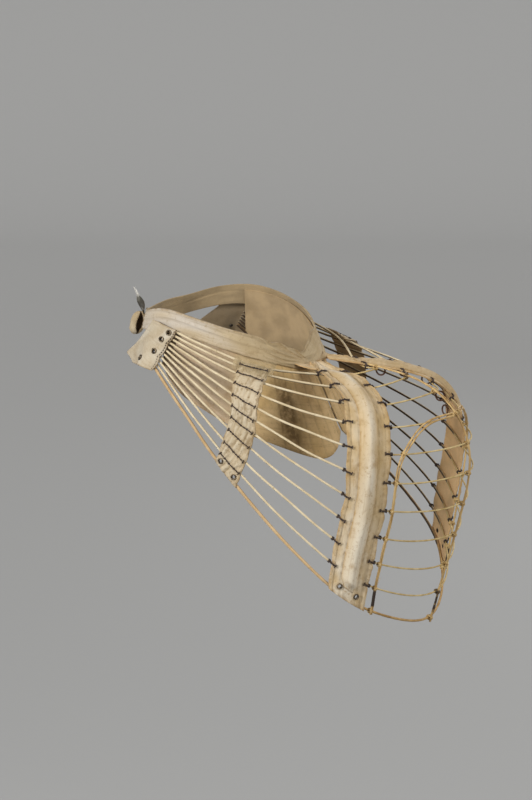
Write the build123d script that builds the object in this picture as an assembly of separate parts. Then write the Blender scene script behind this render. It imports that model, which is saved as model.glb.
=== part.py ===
"""Wire-hoop bustle of the 1880s, worn on the back of the waist under a skirt.

Eleven bent hoops fan out from a stiff tab on each hip, pass behind a boned side band and close round
the back as a cage. A waistband with a hook and a loop carries the cage, and a yoke in two halves lies
on the hips under it. Millimetres; +X is the wearer's left, +Y the back, +Z up, and the origin is the
centre of the waist.
"""

import math
import os

from build123d import *

# Waist and waistband
waist_half_width = 105.0
waist_front = 92.0
waist_back = 105.0
belt_width = 24.0
belt_thickness = 2.2
belt_mean_height = 8.5
belt_back_dip = 17.0
belt_side_rise = 13.5
belt_end_angle = -63.0
belt_gap_angle = 9.0

# Cage of hoops: half width, overhang behind the belt and drop below the waist
cage_half_width = 155.0
cage_overhang = 192.0
cage_drop = 314.0
hoop_count = 11
hoop_diameter = 2.4
rim_diameter = 3.4
hoop_lift_from_belt = 4.0
hoop_tail_share = 0.09

# Cloth of the bands, patches and gussets
cloth_thickness = 1.4
seat_gap = 0.4
patch_length = 38.0
net_length = 46.0
net_thickness = 0.4
casing_width = 19.0
casing_height = 6.0
casing_wall = 1.4
bone_width = 7.0
bone_thickness = 1.2

# Front tabs
tab_thickness = 2.4
tab_overlap = 4.0
tab_tip_standoff = 11.0
tab_middle_angle = -36.0
tab_tip_angle = -57.0
tab_rows = 6

# Hip yoke
yoke_thickness = 1.6
yoke_side_flare = 0.20
yoke_back_flare = 0.48
yoke_low_height = -56.0
yoke_low_slope = 0.50
yoke_start_angle = -17.0
yoke_front_rise = 18.0
yoke_corner_rise = 32.0
yoke_turn_angle = 24.0
yoke_centre_gap = 4.0
gusset_end_angle = 88.0
gusset_span_angle = 26.0

# Canes on the back of the cage and the rings that lash them to the hoops
rib_diameter = 2.6
lashing_diameter = 0.9

# Thread, eyelets and lacing rings
thread_diameter = 1.4
edge_thread_diameter = 2.0
stitch_length = 9.4
stitch_wrap_length = 3.0
stitch_wrap_wall = 0.8
eyelet_hole_diameter = 4.0
eyelet_wall = 0.6
eyelet_bead = 1.5
eyelet_spacing = 24.0
ring_diameter = 13.0
ring_wire = 2.0
ring_hang_angle = 60.0

# Front closure
hook_angle = -56.0
hook_length = 32.0
hook_width = 12.0
hook_thickness = 1.2
hook_bow = 12.0
hook_twist_angle = 70.0
loop_diameter = 17.0
loop_wall = 1.8
loop_height = 27.0
loop_slot = 7.0
loop_slot_angle = -35.0

# Guide lines of the left half for hoops 1, 3, 5, 7, 9 and 11, as shares of the half width, of the
# overhang behind the belt and of the drop
guide_step = 2
fan_shares = [(0.684, -0.095, -0.054), (0.819, -0.090, -0.086), (0.923, -0.085, -0.159),
              (0.955, -0.085, -0.242), (0.981, -0.126, -0.338), (1.000, -0.173, -0.417)]
front_shares = [(0.310, 0.166, -0.102), (0.684, 0.447, -0.156), (0.897, 0.551, -0.287),
                (0.903, 0.546, -0.462), (0.923, 0.491, -0.627), (0.948, 0.463, -0.790)]
rear_shares = [(0.129, 0.327, -0.108), (0.452, 0.624, -0.178), (0.671, 0.739, -0.328),
               (0.703, 0.718, -0.529), (0.729, 0.655, -0.717), (0.742, 0.603, -0.885)]
back_shares = [(0.0, 0.416, -0.096), (0.0, 0.785, -0.162), (0.0, 0.994, -0.338),
               (0.0, 0.968, -0.561), (0.0, 0.864, -0.793), (0.0, 0.770, -1.000)]
# Hoop ends on the tab, as shares of the half width (out from the belt), of the waist's front and of
# the drop
tab_shares = [(0.000, -0.141, 0.051), (0.010, -0.189, 0.025), (0.020, -0.237, -0.001),
              (0.030, -0.285, -0.027), (0.041, -0.333, -0.054), (0.052, -0.380, -0.080)]
# Left leg of the arch of cane, as hoop number and station along the hoop
leg_shares = [(11.15, 3.10), (10.0, 3.10), (9.0, 3.09), (8.0, 3.09), (7.0, 3.09), (6.0, 3.09),
              (5.4, 3.11), (5.0, 3.16), (4.6, 3.25), (4.3, 3.35), (4.08, 3.48), (3.98, 3.62),
              (3.97, 3.78), (4.0, 3.92)]
# Lacing rings inside the left and the right band, as hoop number and station along the hoop
left_ring_shares = [(1.6, 2.45), (2.4, 2.35), (3.4, 2.3), (4.4, 2.3), (5.25, 2.25)]
right_ring_shares = [(1.6, 2.35), (2.4, 2.12), (3.4, 2.04), (4.4, 2.04), (5.2, 2.04)]
# Hoop numbers, and numbers between hoops, where the cloth pieces start and end
band_top_share, band_full_share, band_bottom_share = 0.20, 1.5, 11.14
patch_top_share, patch_bottom_share = 1.35, 11.1
net_top_share, net_bottom_share = 0.45, 2.75
band_eyelet_share, patch_eyelet_share = 10.7, 10.55
casing_top_share, casing_bottom_share = 1.35, 10.25
gusset_bottom_share = 0.80
tab_top_share, tab_bottom_share, tab_end_bottom_share = 0.5, 11.6, 15.0
rib_top_share, rib_bottom_share = 0.75, 11.15
# Parts of a width, a height or a span
band_top_width_share = 0.50
patch_stitch_share = 0.84
loop_above_share = 0.25
# Rows of the tab's eyelets, as shares from its rear edge to its tip and from its top to its bottom
tab_eyelet_shares = [(0.13, 0.10), (0.20, 0.28), (0.18, 0.58), (0.40, 0.82)]
# Top and bottom of the tab's middle and tip below the belt's middle line, as shares of the belt's width
tab_middle_shares = (0.0, 2.2)
tab_tip_shares = (0.95, 2.0)
# Front outline of the tab: where each row of it stops, as shares of its length from top to bottom
tab_stop_shares = [0.52, 0.60, 0.76, 0.97, 0.95, 0.86]
# Leaf of the hook: shares of its length and of its width
hook_shares = [(0.0, 0.60), (0.15, 0.80), (0.3, 0.97), (0.45, 1.0), (0.6, 0.85), (0.75, 0.55), (0.88, 0.32),
               (1.0, 0.2)]
# Stations along one half hoop: 0 tab, 1 patch, 2 band front, 3 band rear, 4 middle of the back
TAB, FAN, FRONT, REAR, BACK = range(5)

hoop_radius = hoop_diameter / 2
rim_radius = rim_diameter / 2
rib_radius = rib_diameter / 2
thread_radius = thread_diameter / 2
belt_back_face = waist_back + belt_thickness
cloth_lift = rim_radius + seat_gap
cloth_top = cloth_lift + cloth_thickness
rib_lift = rim_radius + seat_gap + rib_radius
small_step = 0.02
straight_turn = 0.05
run_share = 0.45
fine_gap = seat_gap / 4


def natural_spline(points, power):
    """Natural cubic spline through points; the returned function counts the points from 0."""
    steps = [(b - a).length ** power for a, b in zip(points, points[1:])]
    last = len(points) - 1
    bends = [Vector(0, 0, 0)] * (last + 1)
    factors = [0.0] * (last + 1)
    for i in range(1, last):
        before, after = steps[i - 1], steps[i]
        turn = (points[i + 1] - points[i]) * (1 / after) - (points[i] - points[i - 1]) * (1 / before)
        pivot = 2 * (before + after) - before * factors[i - 1]
        factors[i] = after / pivot
        bends[i] = (turn * 6 - bends[i - 1] * before) * (1 / pivot)
    for i in range(last - 1, 0, -1):
        bends[i] = bends[i] - bends[i + 1] * factors[i]

    def at(station):
        i = min(max(math.floor(station), 0), last - 1)
        b = station - i
        a = 1 - b
        bend = bends[i] * (a**3 - a) + bends[i + 1] * (b**3 - b)
        return points[i] * a + points[i + 1] * b + bend * (steps[i] ** 2 / 6)

    return at


def spread(first, last, count):
    return [first + (last - first) * i / (count - 1) for i in range(count)]


def mirrored(point):
    return Vector(-point.X, point.Y, point.Z)


def cage_point(share):
    y = belt_back_face + share[1] * cage_overhang
    return Vector(share[0] * cage_half_width, y, share[2] * cage_drop)


def tab_point(share):
    x = waist_half_width + belt_thickness + hoop_lift_from_belt + share[0] * cage_half_width
    return Vector(x, share[1] * waist_front, share[2] * cage_drop)


guides = [natural_spline([tab_point(s) for s in tab_shares], 0)]
for shares in (fan_shares, front_shares, rear_shares, back_shares):
    guides.append(natural_spline([cage_point(s) for s in shares], 0))
curves = {}


def hoop_curve(number):
    """Curve of the hoop with that number; a number between two hoops gives the cage surface there."""
    key = round(number, 4)
    if key not in curves:
        left = [guide((number - 1) / guide_step) for guide in guides]
        curves[key] = natural_spline(left + [mirrored(p) for p in left[-2::-1]], 0.75)
    return curves[key]


def along(number, station):
    curve = hoop_curve(number)
    return curve(station + small_step) - curve(station - small_step)


def outward(number, station):
    """Direction square to the cage surface, away from the wearer."""
    down = hoop_curve(number + small_step)(station) - hoop_curve(number - small_step)(station)
    return down.cross(along(number, station)).normalized()


def lifted(number, station, lift):
    """Point on the cage surface, moved outward by lift."""
    return hoop_curve(number)(station) + outward(number, station) * lift


def shifted(number, station, distance):
    """Station that lies distance further along a hoop."""
    return station + distance * 2 * small_step / along(number, station).length


def belt_height(angle):
    return belt_mean_height - belt_back_dip * math.sin(angle) + belt_side_rise * math.cos(2 * angle)


def body_point(degrees, below, out):
    """Point below the belt's middle line and out from its inner face; the flare follows the hips."""
    angle = math.radians(degrees)
    depth = waist_back if math.sin(angle) > 0 else waist_front
    flare = yoke_side_flare
    if math.sin(angle) > 0:
        flare += (yoke_back_flare - yoke_side_flare) * math.sin(angle) ** 2
    normal = Vector(math.cos(angle) / waist_half_width, math.sin(angle) / depth, 0).normalized()
    rim = Vector(waist_half_width * math.cos(angle), depth * math.sin(angle), belt_height(angle) - below)
    return rim + normal * (flare * below + out)


def flattened(points):
    """Closed outline of two facing rows of points, moved onto one plane so that it can be capped."""
    length = points[len(points) // 2 - 1] - points[0]
    normal = length.cross(points[-1] - points[0]).normalized()
    middle = sum(points[1:], points[0]) * (1 / len(points))
    return [p - normal * normal.dot(p - middle) for p in points]


def loft_through(sections):
    outlines = [Wire.make_polygon(flattened(points), close=True) for points in sections]
    return Solid.make_loft(outlines, True)


def cloth_on_cage(numbers, stations_at, lift, thickness):
    """Cloth that lies on the cage; stations_at gives its stations across at each hoop number."""
    sections = []
    for number in numbers:
        stations = stations_at(number)
        outer = [lifted(number, s, lift + thickness) for s in stations]
        inner = [lifted(number, s, lift) for s in reversed(stations)]
        sections.append(outer + inner)
    return loft_through(sections)


def bar_on_cage(numbers, station, outline):
    """Bar along one station with the given outline, as pairs of across and out."""
    sections = []
    for number in numbers:
        middle = hoop_curve(number)(station)
        out = outward(number, station)
        across = along(number, station).normalized()
        sections.append([middle + across * a + out * b for a, b in outline])
    return loft_through(sections)


def flat_outline(width, thickness, low):
    high = low + thickness
    return [(width / 2, low), (width / 2, high), (-width / 2, high), (-width / 2, low)]


def tube(points, radius):
    """Round rod along straight runs that are joined by arcs as large as the runs allow."""
    edges = []
    start = points[0]
    for before, here, after in zip(points, points[1:], points[2:]):
        half_turn = math.radians((here - before).get_angle(after - here) / 2)
        if math.degrees(half_turn) < straight_turn:
            continue
        reach = run_share * min((here - before).length, (after - here).length)
        arc_start = here - (here - before).normalized() * reach
        arc_end = here + (after - here).normalized() * reach
        chord_middle = (arc_start + arc_end) * 0.5
        arc_height = reach * math.cos(half_turn) * math.tan(half_turn / 2)
        arc_top = chord_middle + (here - chord_middle).normalized() * arc_height
        edges.append(Edge.make_line(start, arc_start))
        edges.append(Edge.make_three_point_arc(arc_start, arc_top, arc_end))
        start = arc_end
    edges.append(Edge.make_line(start, points[-1]))
    path = Wire(edges)
    section = Plane(origin=path @ 0, z_dir=path % 0) * Circle(radius)
    return sweep(section, path=path).solid()


def capsule(first, second, radius):
    """Straight rod with round ends."""
    rod = Solid.make_cylinder(radius, (second - first).length, Plane(first, z_dir=second - first))
    ends = [Solid.make_sphere(radius, Plane(p)) for p in (first, second)]
    return rod.fuse(*ends).solid()


def sleeve(first, second, inner_radius, wall):
    """Short pipe from first to second."""
    plane = Plane(first, z_dir=second - first)
    length = (second - first).length
    outer = Solid.make_cylinder(inner_radius + wall, length, plane)
    return outer.cut(Solid.make_cylinder(inner_radius, length, plane)).solid()


def write(name, *solids):
    shape = solids[0] if len(solids) == 1 else Compound(children=list(solids))
    export_step(shape, os.path.join("parts", name + ".step"))


def write_pair(name, *solids):
    write(name + "_left", *solids)
    write(name + "_right", *[s.mirror(Plane.YZ) for s in solids])


def hoop(number, radius):
    half = [-hoop_tail_share] + spread(TAB, FAN, 6) + spread(FAN, FRONT, 13)[1:]
    half += spread(FRONT, REAR, 9)[1:] + spread(REAR, BACK, 12)[1:]
    stations = half + [2 * BACK - s for s in half[-2::-1]]
    return tube([hoop_curve(number)(s) for s in stations], radius)


def eyelet(seat, out, thickness):
    """Ring with a bead on the outer face; seat is on that face. Also returns the drill for its hole."""
    tube_radius = eyelet_hole_diameter / 2 + eyelet_wall
    bottom = Plane(seat - out * thickness, z_dir=out)
    bead_centre = seat + out * (eyelet_bead / 2 + fine_gap)
    bore_start = Plane(seat - out * (2 * thickness), z_dir=out)
    bead_radius = tube_radius + fine_gap
    ring = Solid.make_torus(bead_radius, eyelet_bead / 2, Plane(bead_centre, z_dir=out))
    ring = ring.fuse(Solid.make_cylinder(tube_radius, thickness + eyelet_bead / 2, bottom))
    ring = ring.cut(Solid.make_cylinder(eyelet_hole_diameter / 2, 4 * thickness, bore_start))
    drill = Solid.make_cylinder(tube_radius + fine_gap, 4 * thickness, bore_start)
    return ring.solid(), drill


def waistband():
    first = belt_end_angle
    last = 360 + belt_end_angle - belt_gap_angle
    half = belt_width / 2
    corners = [(half, 0), (half, belt_thickness), (-half, belt_thickness), (-half, 0)]
    sections = [[body_point(t, b, o) for b, o in corners] for t in spread(first, last, 45)]
    return loft_through(sections)


def yoke():
    """Left half of the yoke, inside the belt and down over the hip."""
    out = -seat_gap
    sections = []
    end = 90 - math.degrees(yoke_centre_gap / 2 / waist_half_width)
    for t in spread(yoke_start_angle, end, 22):
        waist, lower = body_point(t, 0, 0), body_point(t, belt_width, 0)
        slant = (lower.Y - waist.Y) / belt_width
        low_at_waist = yoke_low_height - yoke_low_slope * waist.Y
        below = (waist.Z - low_at_waist) / (1 - yoke_low_slope * slant)
        front = max(0, 1 - (t - yoke_start_angle) / yoke_turn_angle)
        corner = max(0, 1 - (90 - t) / yoke_turn_angle)
        below -= yoke_front_rise * front**2 + yoke_corner_rise * corner**2
        heights = spread(-belt_width / 4, below, 3)
        outer = [body_point(t, h, out) for h in heights]
        inner = [body_point(t, h, out - yoke_thickness) for h in reversed(heights)]
        sections.append(outer + inner)
    return loft_through(sections)


def tab_lines():
    """Lines down the tab's inner face, from its rear edge to its tip."""
    numbers = spread(tab_top_share, tab_bottom_share, tab_rows)
    rear = [lifted(n, shifted(n, TAB, tab_overlap), cloth_lift) for n in numbers]
    end_numbers = spread(tab_top_share, tab_end_bottom_share, tab_rows)
    ends = [lifted(n, -hoop_tail_share - small_step, cloth_lift) for n in end_numbers]
    lines = [rear, ends]
    over_belt = belt_thickness + 2 * seat_gap
    for t, shares, out in ((tab_middle_angle, tab_middle_shares, over_belt + tab_tip_standoff / 4),
                           (tab_tip_angle, tab_tip_shares, over_belt + tab_tip_standoff)):
        heights = [share * belt_width for share in spread(*shares, tab_rows)]
        lines.append([body_point(t, h, out) for h in heights])
    return lines


def tab_grid():
    """Points and outward directions of the tab, one list for each line across it."""
    lines = tab_lines()
    across = [natural_spline([line[i] for line in lines], 0.75) for i in range(tab_rows)]

    def point(share, row_share):
        row = row_share * (tab_rows - 1)
        i = min(int(row), tab_rows - 2)
        station = share * (len(lines) - 1)
        return across[i](station) * (1 - row + i) + across[i + 1](station) * (row - i)

    def out(share, row_share):
        forward = point(share + small_step, row_share) - point(share - small_step, row_share)
        low, high = max(row_share - small_step, 0), min(row_share + small_step, 1)
        return forward.cross(point(share, high) - point(share, low)).normalized()

    return point, out


def front_tab():
    point, out = tab_grid()
    stop_at = natural_spline([Vector(share, 0, 0) for share in tab_stop_shares], 0)
    sections = []
    for row in spread(0, 1, 2 * tab_rows - 1):
        stop = stop_at(row * (len(tab_stop_shares) - 1)).X
        shares = spread(0, stop, 10)
        inner = [point(share, row) for share in shares]
        outer = [point(share, row) + out(share, row) * tab_thickness for share in reversed(shares)]
        sections.append(inner + outer)
    tab = loft_through(sections)
    rings = []
    for share, row in tab_eyelet_shares:
        normal = out(share, row)
        ring, drill = eyelet(point(share, row) + normal * tab_thickness, normal, tab_thickness)
        tab = tab.cut(drill)
        rings.append(ring)
    return tab.solid(), rings


def cloth_eyelets(cloth, number, station, spacing):
    """Drills two eyelet holes into cloth on the cage and returns it with its two rings."""
    rings = []
    for side in (-0.5, 0.5):
        place = shifted(number, station, side * spacing)
        normal = outward(number, place)
        ring, drill = eyelet(lifted(number, place, cloth_top), normal, cloth_thickness)
        cloth = cloth.cut(drill)
        rings.append(ring)
    return cloth.solid(), rings


def band_stations(number):
    """Stations across the side band, which narrows where it runs up to the belt."""
    full = min(1, max(0, (number - band_top_share) / (band_full_share - band_top_share)))
    width = band_top_width_share + (1 - band_top_width_share) * full
    return spread(FRONT, FRONT + width * (REAR - FRONT), 7)


def patch_stations(length):
    def stations(number):
        return spread(shifted(number, FAN, -length / 2), shifted(number, FAN, length / 2), 5)

    return stations


def gusset():
    """Left gusset that joins the back of the belt to the front edge of the side band."""
    sections = []
    for q in spread(0, 1, 7):
        number = band_top_share + q * (gusset_bottom_share - band_top_share)
        edge = shifted(number, FRONT, -seat_gap)
        angle = gusset_end_angle - gusset_span_angle * q
        out = belt_thickness + seat_gap
        belt = [body_point(angle, belt_width / 4 + h, out) for h in (0, cloth_thickness)]
        cage = [lifted(number, edge, h) for h in (cloth_lift, cloth_top)]
        sections.append([belt[0], belt[1], cage[0], cage[1]])
    return loft_through(sections)


def edge_stitches(edge, inward):
    """One wrapped hoop and one bar of thread for every hoop at the band's first or last edge."""
    solids = []
    lift = cloth_top + edge_thread_diameter / 2 + seat_gap
    for number in range(1, hoop_count):
        station = band_stations(number)[edge]
        outside = [shifted(number, station, -inward * d) for d in (2 * seat_gap, stitch_wrap_length)]
        wrap = [hoop_curve(number)(s) for s in outside]
        solids.append(sleeve(*wrap, hoop_radius + seat_gap, stitch_wrap_wall))
        inside = [shifted(number, station, inward * d) for d in (edge_thread_diameter, stitch_length)]
        bar = [lifted(number, s, lift) for s in inside]
        solids.append(capsule(*bar, edge_thread_diameter / 2))
    return solids


def patch_stitches():
    """Row of thread across the patch at each hoop, above the net where that lies."""
    rods = []
    half = patch_stitch_share * patch_length / 2
    for number in range(2, hoop_count):
        lift = cloth_top + fine_gap + thread_radius
        if number < net_bottom_share:
            lift += seat_gap + net_thickness
        ends = [shifted(number, FAN, side * half) for side in (-1, 1)]
        rods.append(tube([lifted(number, s, lift) for s in spread(*ends, 6)], thread_radius))
    return rods


def lashing(number, station, rib_along):
    """Ring of thread round a hoop and the cane that crosses it, square to the line between them."""
    radius = rim_radius if number == hoop_count else hoop_radius
    out = outward(number, station)
    low, high = -radius, rib_lift + rib_radius
    centre = hoop_curve(number)(station) + out * ((low + high) / 2)
    hoop_along = along(number, station).normalized()
    turn = 1 if hoop_along.dot(rib_along) > 0 else -1
    axis = (hoop_along * turn + rib_along.normalized()).normalized()
    ring_radius = (high - low) / 2 + seat_gap + lashing_diameter / 2
    return Solid.make_torus(ring_radius, lashing_diameter / 2, Plane(centre, z_dir=axis))


def centre_rib():
    numbers = spread(rib_top_share, rib_bottom_share, 22)
    rod = tube([lifted(n, BACK, rib_lift) for n in numbers], rib_radius)
    rings = []
    for number in range(1, hoop_count + 1):
        rib_along = lifted(number + small_step, BACK, rib_lift) - lifted(number - small_step, BACK, rib_lift)
        rings.append(lashing(number, BACK, rib_along))
    return rod, rings


def arch_leg():
    places = natural_spline([Vector(n, s, 0) for n, s in leg_shares], 0.5)
    points = []
    for station in spread(0, len(leg_shares) - 1, 26):
        place = places(station)
        points.append(lifted(place.X, place.Y, rib_lift))
    rings = []
    for index, (number, station) in enumerate(leg_shares):
        if number == int(number):
            ahead, behind = places(index + small_step), places(index - small_step)
            rib_along = lifted(ahead.X, ahead.Y, rib_lift) - lifted(behind.X, behind.Y, rib_lift)
            rings.append(lashing(int(number), station, rib_along))
    first = leg_shares[0]
    rim_ahead = lifted(hoop_count - small_step, first[1], 0) - lifted(hoop_count + small_step, first[1], 0)
    rings.append(lashing(hoop_count, first[1], rim_ahead))
    return tube(points, rib_radius), rings


def lacing_rings(ring_shares):
    """Rings inside the left band; they hang free under its flat top and lie on its steep part."""
    rings = []
    ring_radius = (ring_diameter - ring_wire) / 2
    flat_limit = math.cos(math.radians(ring_hang_angle))
    for number, station in ring_shares:
        out = outward(number, station)
        axis = Vector(1, 0, 0) if out.Z > flat_limit else Vector(out.X, out.Y, 0).normalized()
        in_plane = out - axis * axis.dot(out)
        top = lifted(number, station, cloth_lift - 2 * seat_gap - ring_wire / 2)
        centre = top - Vector(0, 0, ring_radius * in_plane.length / out.Z)
        rings.append(Solid.make_torus(ring_radius, ring_wire / 2, Plane(centre, z_dir=axis)))
    return rings


def belt_hook():
    """Leaf of sheet metal on the belt's left end, bowed outward and twisted to a narrow tip."""
    sections = []
    tangent = (body_point(hook_angle + 1, 0, 0) - body_point(hook_angle - 1, 0, 0)).normalized()
    flat = body_point(hook_angle, 0, 1) - body_point(hook_angle, 0, 0)
    for share, width in hook_shares:
        out = belt_thickness + seat_gap + hook_bow * share**1.5
        base = body_point(hook_angle, -share * hook_length - belt_width / 5, 0)
        middle = base + flat * (out + share * hook_length * yoke_side_flare)
        twist = math.radians(hook_twist_angle * math.sin(math.pi / 2 * share))
        side = tangent * math.cos(twist) + flat * math.sin(twist)
        half = side * (width * hook_width / 2)
        wall = (flat * math.cos(twist) - tangent * math.sin(twist)) * hook_thickness
        sections.append([middle - half, middle + half, middle + half + wall, middle - half + wall])
    return loft_through(sections)


def belt_loop():
    """Rolled cloth loop on the belt's right end, slit along the side that faces the hook."""
    angle = belt_end_angle - belt_gap_angle
    out = belt_thickness + seat_gap + loop_diameter / 2
    bottom = body_point(angle, loop_height * (1 - loop_above_share), out)
    top = body_point(angle, -loop_height * loop_above_share, out)
    roll = sleeve(bottom, top, loop_diameter / 2 - loop_wall, loop_wall)
    tangent = (body_point(angle + 1, 0, 0) - body_point(angle - 1, 0, 0)).normalized()
    flat = body_point(angle, 0, 1) - body_point(angle, 0, 0)
    turn = math.radians(loop_slot_angle)
    side = tangent * math.cos(turn) + flat * math.sin(turn)
    across = (top - bottom).cross(side).normalized()
    corner = Plane(bottom - across * (loop_slot / 2), x_dir=side, z_dir=top - bottom)
    return roll.cut(Solid.make_box(loop_diameter, loop_slot, loop_height * 2, corner)).solid()


if __name__ == "__main__":
    os.makedirs("parts", exist_ok=True)
    for number in range(1, hoop_count):
        write("hoop_%02d" % number, hoop(number, hoop_radius))
    write("rim_hoop", hoop(hoop_count, rim_radius))

    write("waistband", waistband())
    write_pair("hip_yoke", yoke())
    tab, tab_rings = front_tab()
    write_pair("front_tab", tab)
    write_pair("tab_eyelets", *tab_rings)

    numbers = spread(band_top_share, band_bottom_share, 25)
    band = cloth_on_cage(numbers, band_stations, cloth_lift, cloth_thickness)
    band, band_rings = cloth_eyelets(band, band_eyelet_share, (FRONT + REAR) / 2, eyelet_spacing)
    write_pair("side_band", band)
    write_pair("band_eyelets", *band_rings)

    numbers = spread(patch_top_share, patch_bottom_share, 16)
    patch = cloth_on_cage(numbers, patch_stations(patch_length), cloth_lift, cloth_thickness)
    patch, patch_rings = cloth_eyelets(patch, patch_eyelet_share, FAN, eyelet_spacing)
    write_pair("hip_patch", patch)
    write_pair("patch_eyelets", *patch_rings)
    net_numbers = spread(net_top_share, net_bottom_share, 6)
    net_stations = patch_stations(net_length)
    write("net_overlay", cloth_on_cage(net_numbers, net_stations, cloth_top + seat_gap, net_thickness))

    ridge = (FRONT + REAR) / 2
    numbers = spread(casing_top_share, casing_bottom_share, 24)
    base = cloth_top + seat_gap
    half = casing_width / 2
    arch = [math.pi * i / 8 for i in range(9)]
    outline = [(half * math.cos(a), base + casing_height * math.sin(a)) for a in arch]
    casing = bar_on_cage(numbers, ridge, outline)
    floor = base + casing_wall
    slot = flat_outline(bone_width + 2 * seat_gap, bone_thickness + 2 * seat_gap, floor - seat_gap)
    casing = casing.cut(bar_on_cage(numbers, ridge, slot))
    write_pair("band_casing", casing.solid())
    write_pair("band_bone", bar_on_cage(numbers, ridge, flat_outline(bone_width, bone_thickness, floor)))

    write_pair("back_gusset", gusset())
    write_pair("front_edge_stitches", *edge_stitches(0, 1))
    write_pair("rear_edge_stitches", *edge_stitches(-1, -1))
    write_pair("patch_stitches", *patch_stitches())
    rod, rings = centre_rib()
    write("centre_rib", rod)
    write("centre_lashings", *rings)
    rod, rings = arch_leg()
    write_pair("arch_rib", rod)
    write_pair("arch_lashings", *rings)
    write("lacing_rings_left", *lacing_rings(left_ring_shares))
    write("lacing_rings_right", *[ring.mirror(Plane.YZ) for ring in lacing_rings(right_ring_shares)])
    write("belt_hook", belt_hook())
    write("belt_loop", belt_loop())
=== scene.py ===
"""Looks of the bustle: cloth, covered hoops, cane, thread and metal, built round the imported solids.

Lengths in the shape code are millimetres in the part's own frame and become metres in each mesh.
"""

import math

import bpy
import numpy as np
from mathutils import Matrix, Vector


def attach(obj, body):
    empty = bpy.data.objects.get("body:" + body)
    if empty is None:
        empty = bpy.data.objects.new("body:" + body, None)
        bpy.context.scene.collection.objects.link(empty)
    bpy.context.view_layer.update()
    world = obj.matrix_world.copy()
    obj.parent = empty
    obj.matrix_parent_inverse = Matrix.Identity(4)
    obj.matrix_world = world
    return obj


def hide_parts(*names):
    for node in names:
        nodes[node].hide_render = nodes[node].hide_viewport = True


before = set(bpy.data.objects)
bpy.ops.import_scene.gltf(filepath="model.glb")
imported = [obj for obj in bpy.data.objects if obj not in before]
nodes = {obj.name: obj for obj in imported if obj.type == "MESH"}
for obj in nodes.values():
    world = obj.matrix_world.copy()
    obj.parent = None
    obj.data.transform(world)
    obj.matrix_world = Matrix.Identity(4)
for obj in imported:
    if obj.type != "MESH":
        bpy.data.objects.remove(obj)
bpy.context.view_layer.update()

# Sizes of the part, as in its source
WAIST_X, WAIST_FRONT, WAIST_BACK = 105.0, 92.0, 105.0
BELT_W, BELT_T = 24.0, 2.2
BELT_MEAN, BELT_DIP, BELT_RISE = 8.5, 17.0, 13.5
BELT_END, BELT_GAP = -63.0, 9.0
HALF_WIDTH, OVERHANG, DROP = 155.0, 192.0, 314.0
HOOPS, HOOP_R, RIM_R = 11, 1.2, 1.7
HOOP_LIFT, HOOP_PAST = 4.0, 0.09
CLOTH_T, GAP = 1.4, 0.4
PATCH_L, NET_L = 38.0, 46.0
NET_TOP, NET_BOTTOM = 0.45, 2.75
CASING_W, CASING_H = 19.0, 6.0
CASING_TOP, CASING_BOTTOM = 0.9, 10.62
BAND_TOP, BAND_FULL, BAND_BOTTOM = 0.20, 1.5, 11.14
PATCH_TOP, PATCH_BOTTOM = 1.35, 11.1
EYELET_SPACING, BAND_EYELET, PATCH_EYELET = 24.0, 10.7, 10.55
EYELET_CUT = 3.0
TAB_T, TAB_OVER, TAB_OFF = 2.4, 4.0, 11.0
YOKE_T, FLARE_SIDE, FLARE_BACK = 1.6, 0.20, 0.48
YOKE_LOW, YOKE_SLOPE, YOKE_START = -56.0, 0.50, -17.0
YOKE_SEAM, YOKE_ROUND, YOKE_TURN = 2.0, 24.0, 66.0
YOKE_FRONT_RISE, YOKE_BACK_RISE = 18.0, 32.0
GUSSET_START, GUSSET_SWEEP, GUSSET_DEPTH = 88.0, 19.0, 0.6
RIB_R, RIB_TOP, RIB_PAST = 1.3, 0.75, 0.15
STITCH_IN, STITCH_OUT, ROW_HALF = 9.4, 3.0, 16.0
LOOP_R, LOOP_WALL, LOOP_H, LOOP_SLOT, LOOP_TURN = 8.5, 1.8, 27.0, 7.0, -35.0
HOOK_ANGLE, HOOK_L, HOOK_W, HOOK_T, HOOK_BOW, HOOK_TWIST = -56.0, 32.0, 12.0, 1.1, 12.0, 70.0
FAN_S = [(0.684, -0.095, -0.054), (0.819, -0.090, -0.086), (0.923, -0.085, -0.159),
         (0.955, -0.085, -0.242), (0.981, -0.126, -0.338), (1.000, -0.173, -0.417)]
FRONT_S = [(0.310, 0.166, -0.102), (0.684, 0.447, -0.156), (0.897, 0.551, -0.287),
           (0.903, 0.546, -0.462), (0.923, 0.491, -0.627), (0.948, 0.463, -0.790)]
REAR_S = [(0.129, 0.327, -0.108), (0.452, 0.624, -0.178), (0.671, 0.739, -0.328),
          (0.703, 0.718, -0.529), (0.729, 0.655, -0.717), (0.742, 0.603, -0.885)]
BACK_S = [(0.0, 0.416, -0.096), (0.0, 0.785, -0.162), (0.0, 0.994, -0.338),
          (0.0, 0.968, -0.561), (0.0, 0.864, -0.793), (0.0, 0.770, -1.000)]
TAB_S = [(0.000, -0.141, 0.051), (0.010, -0.189, 0.025), (0.020, -0.237, -0.001),
         (0.030, -0.285, -0.027), (0.041, -0.333, -0.054), (0.052, -0.380, -0.080)]
LEG_S = [(11.15, 3.10), (10.0, 3.10), (9.0, 3.09), (8.0, 3.09), (7.0, 3.09), (6.0, 3.09),
         (5.4, 3.11), (5.0, 3.16), (4.6, 3.25), (4.3, 3.35), (4.08, 3.48), (3.98, 3.62),
         (3.97, 3.78), (4.0, 3.92)]
TAB_EYELET_S = [(0.13, 0.10), (0.20, 0.28), (0.18, 0.58), (0.40, 0.82)]
TAB_STOP_S = [0.52, 0.60, 0.76, 0.97, 0.95, 0.86]
TAB_ROWS, TAB_FOOT, TAB_END, TAB_END_FOOT = 6, 11.6, -0.11, 15.0
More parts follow.
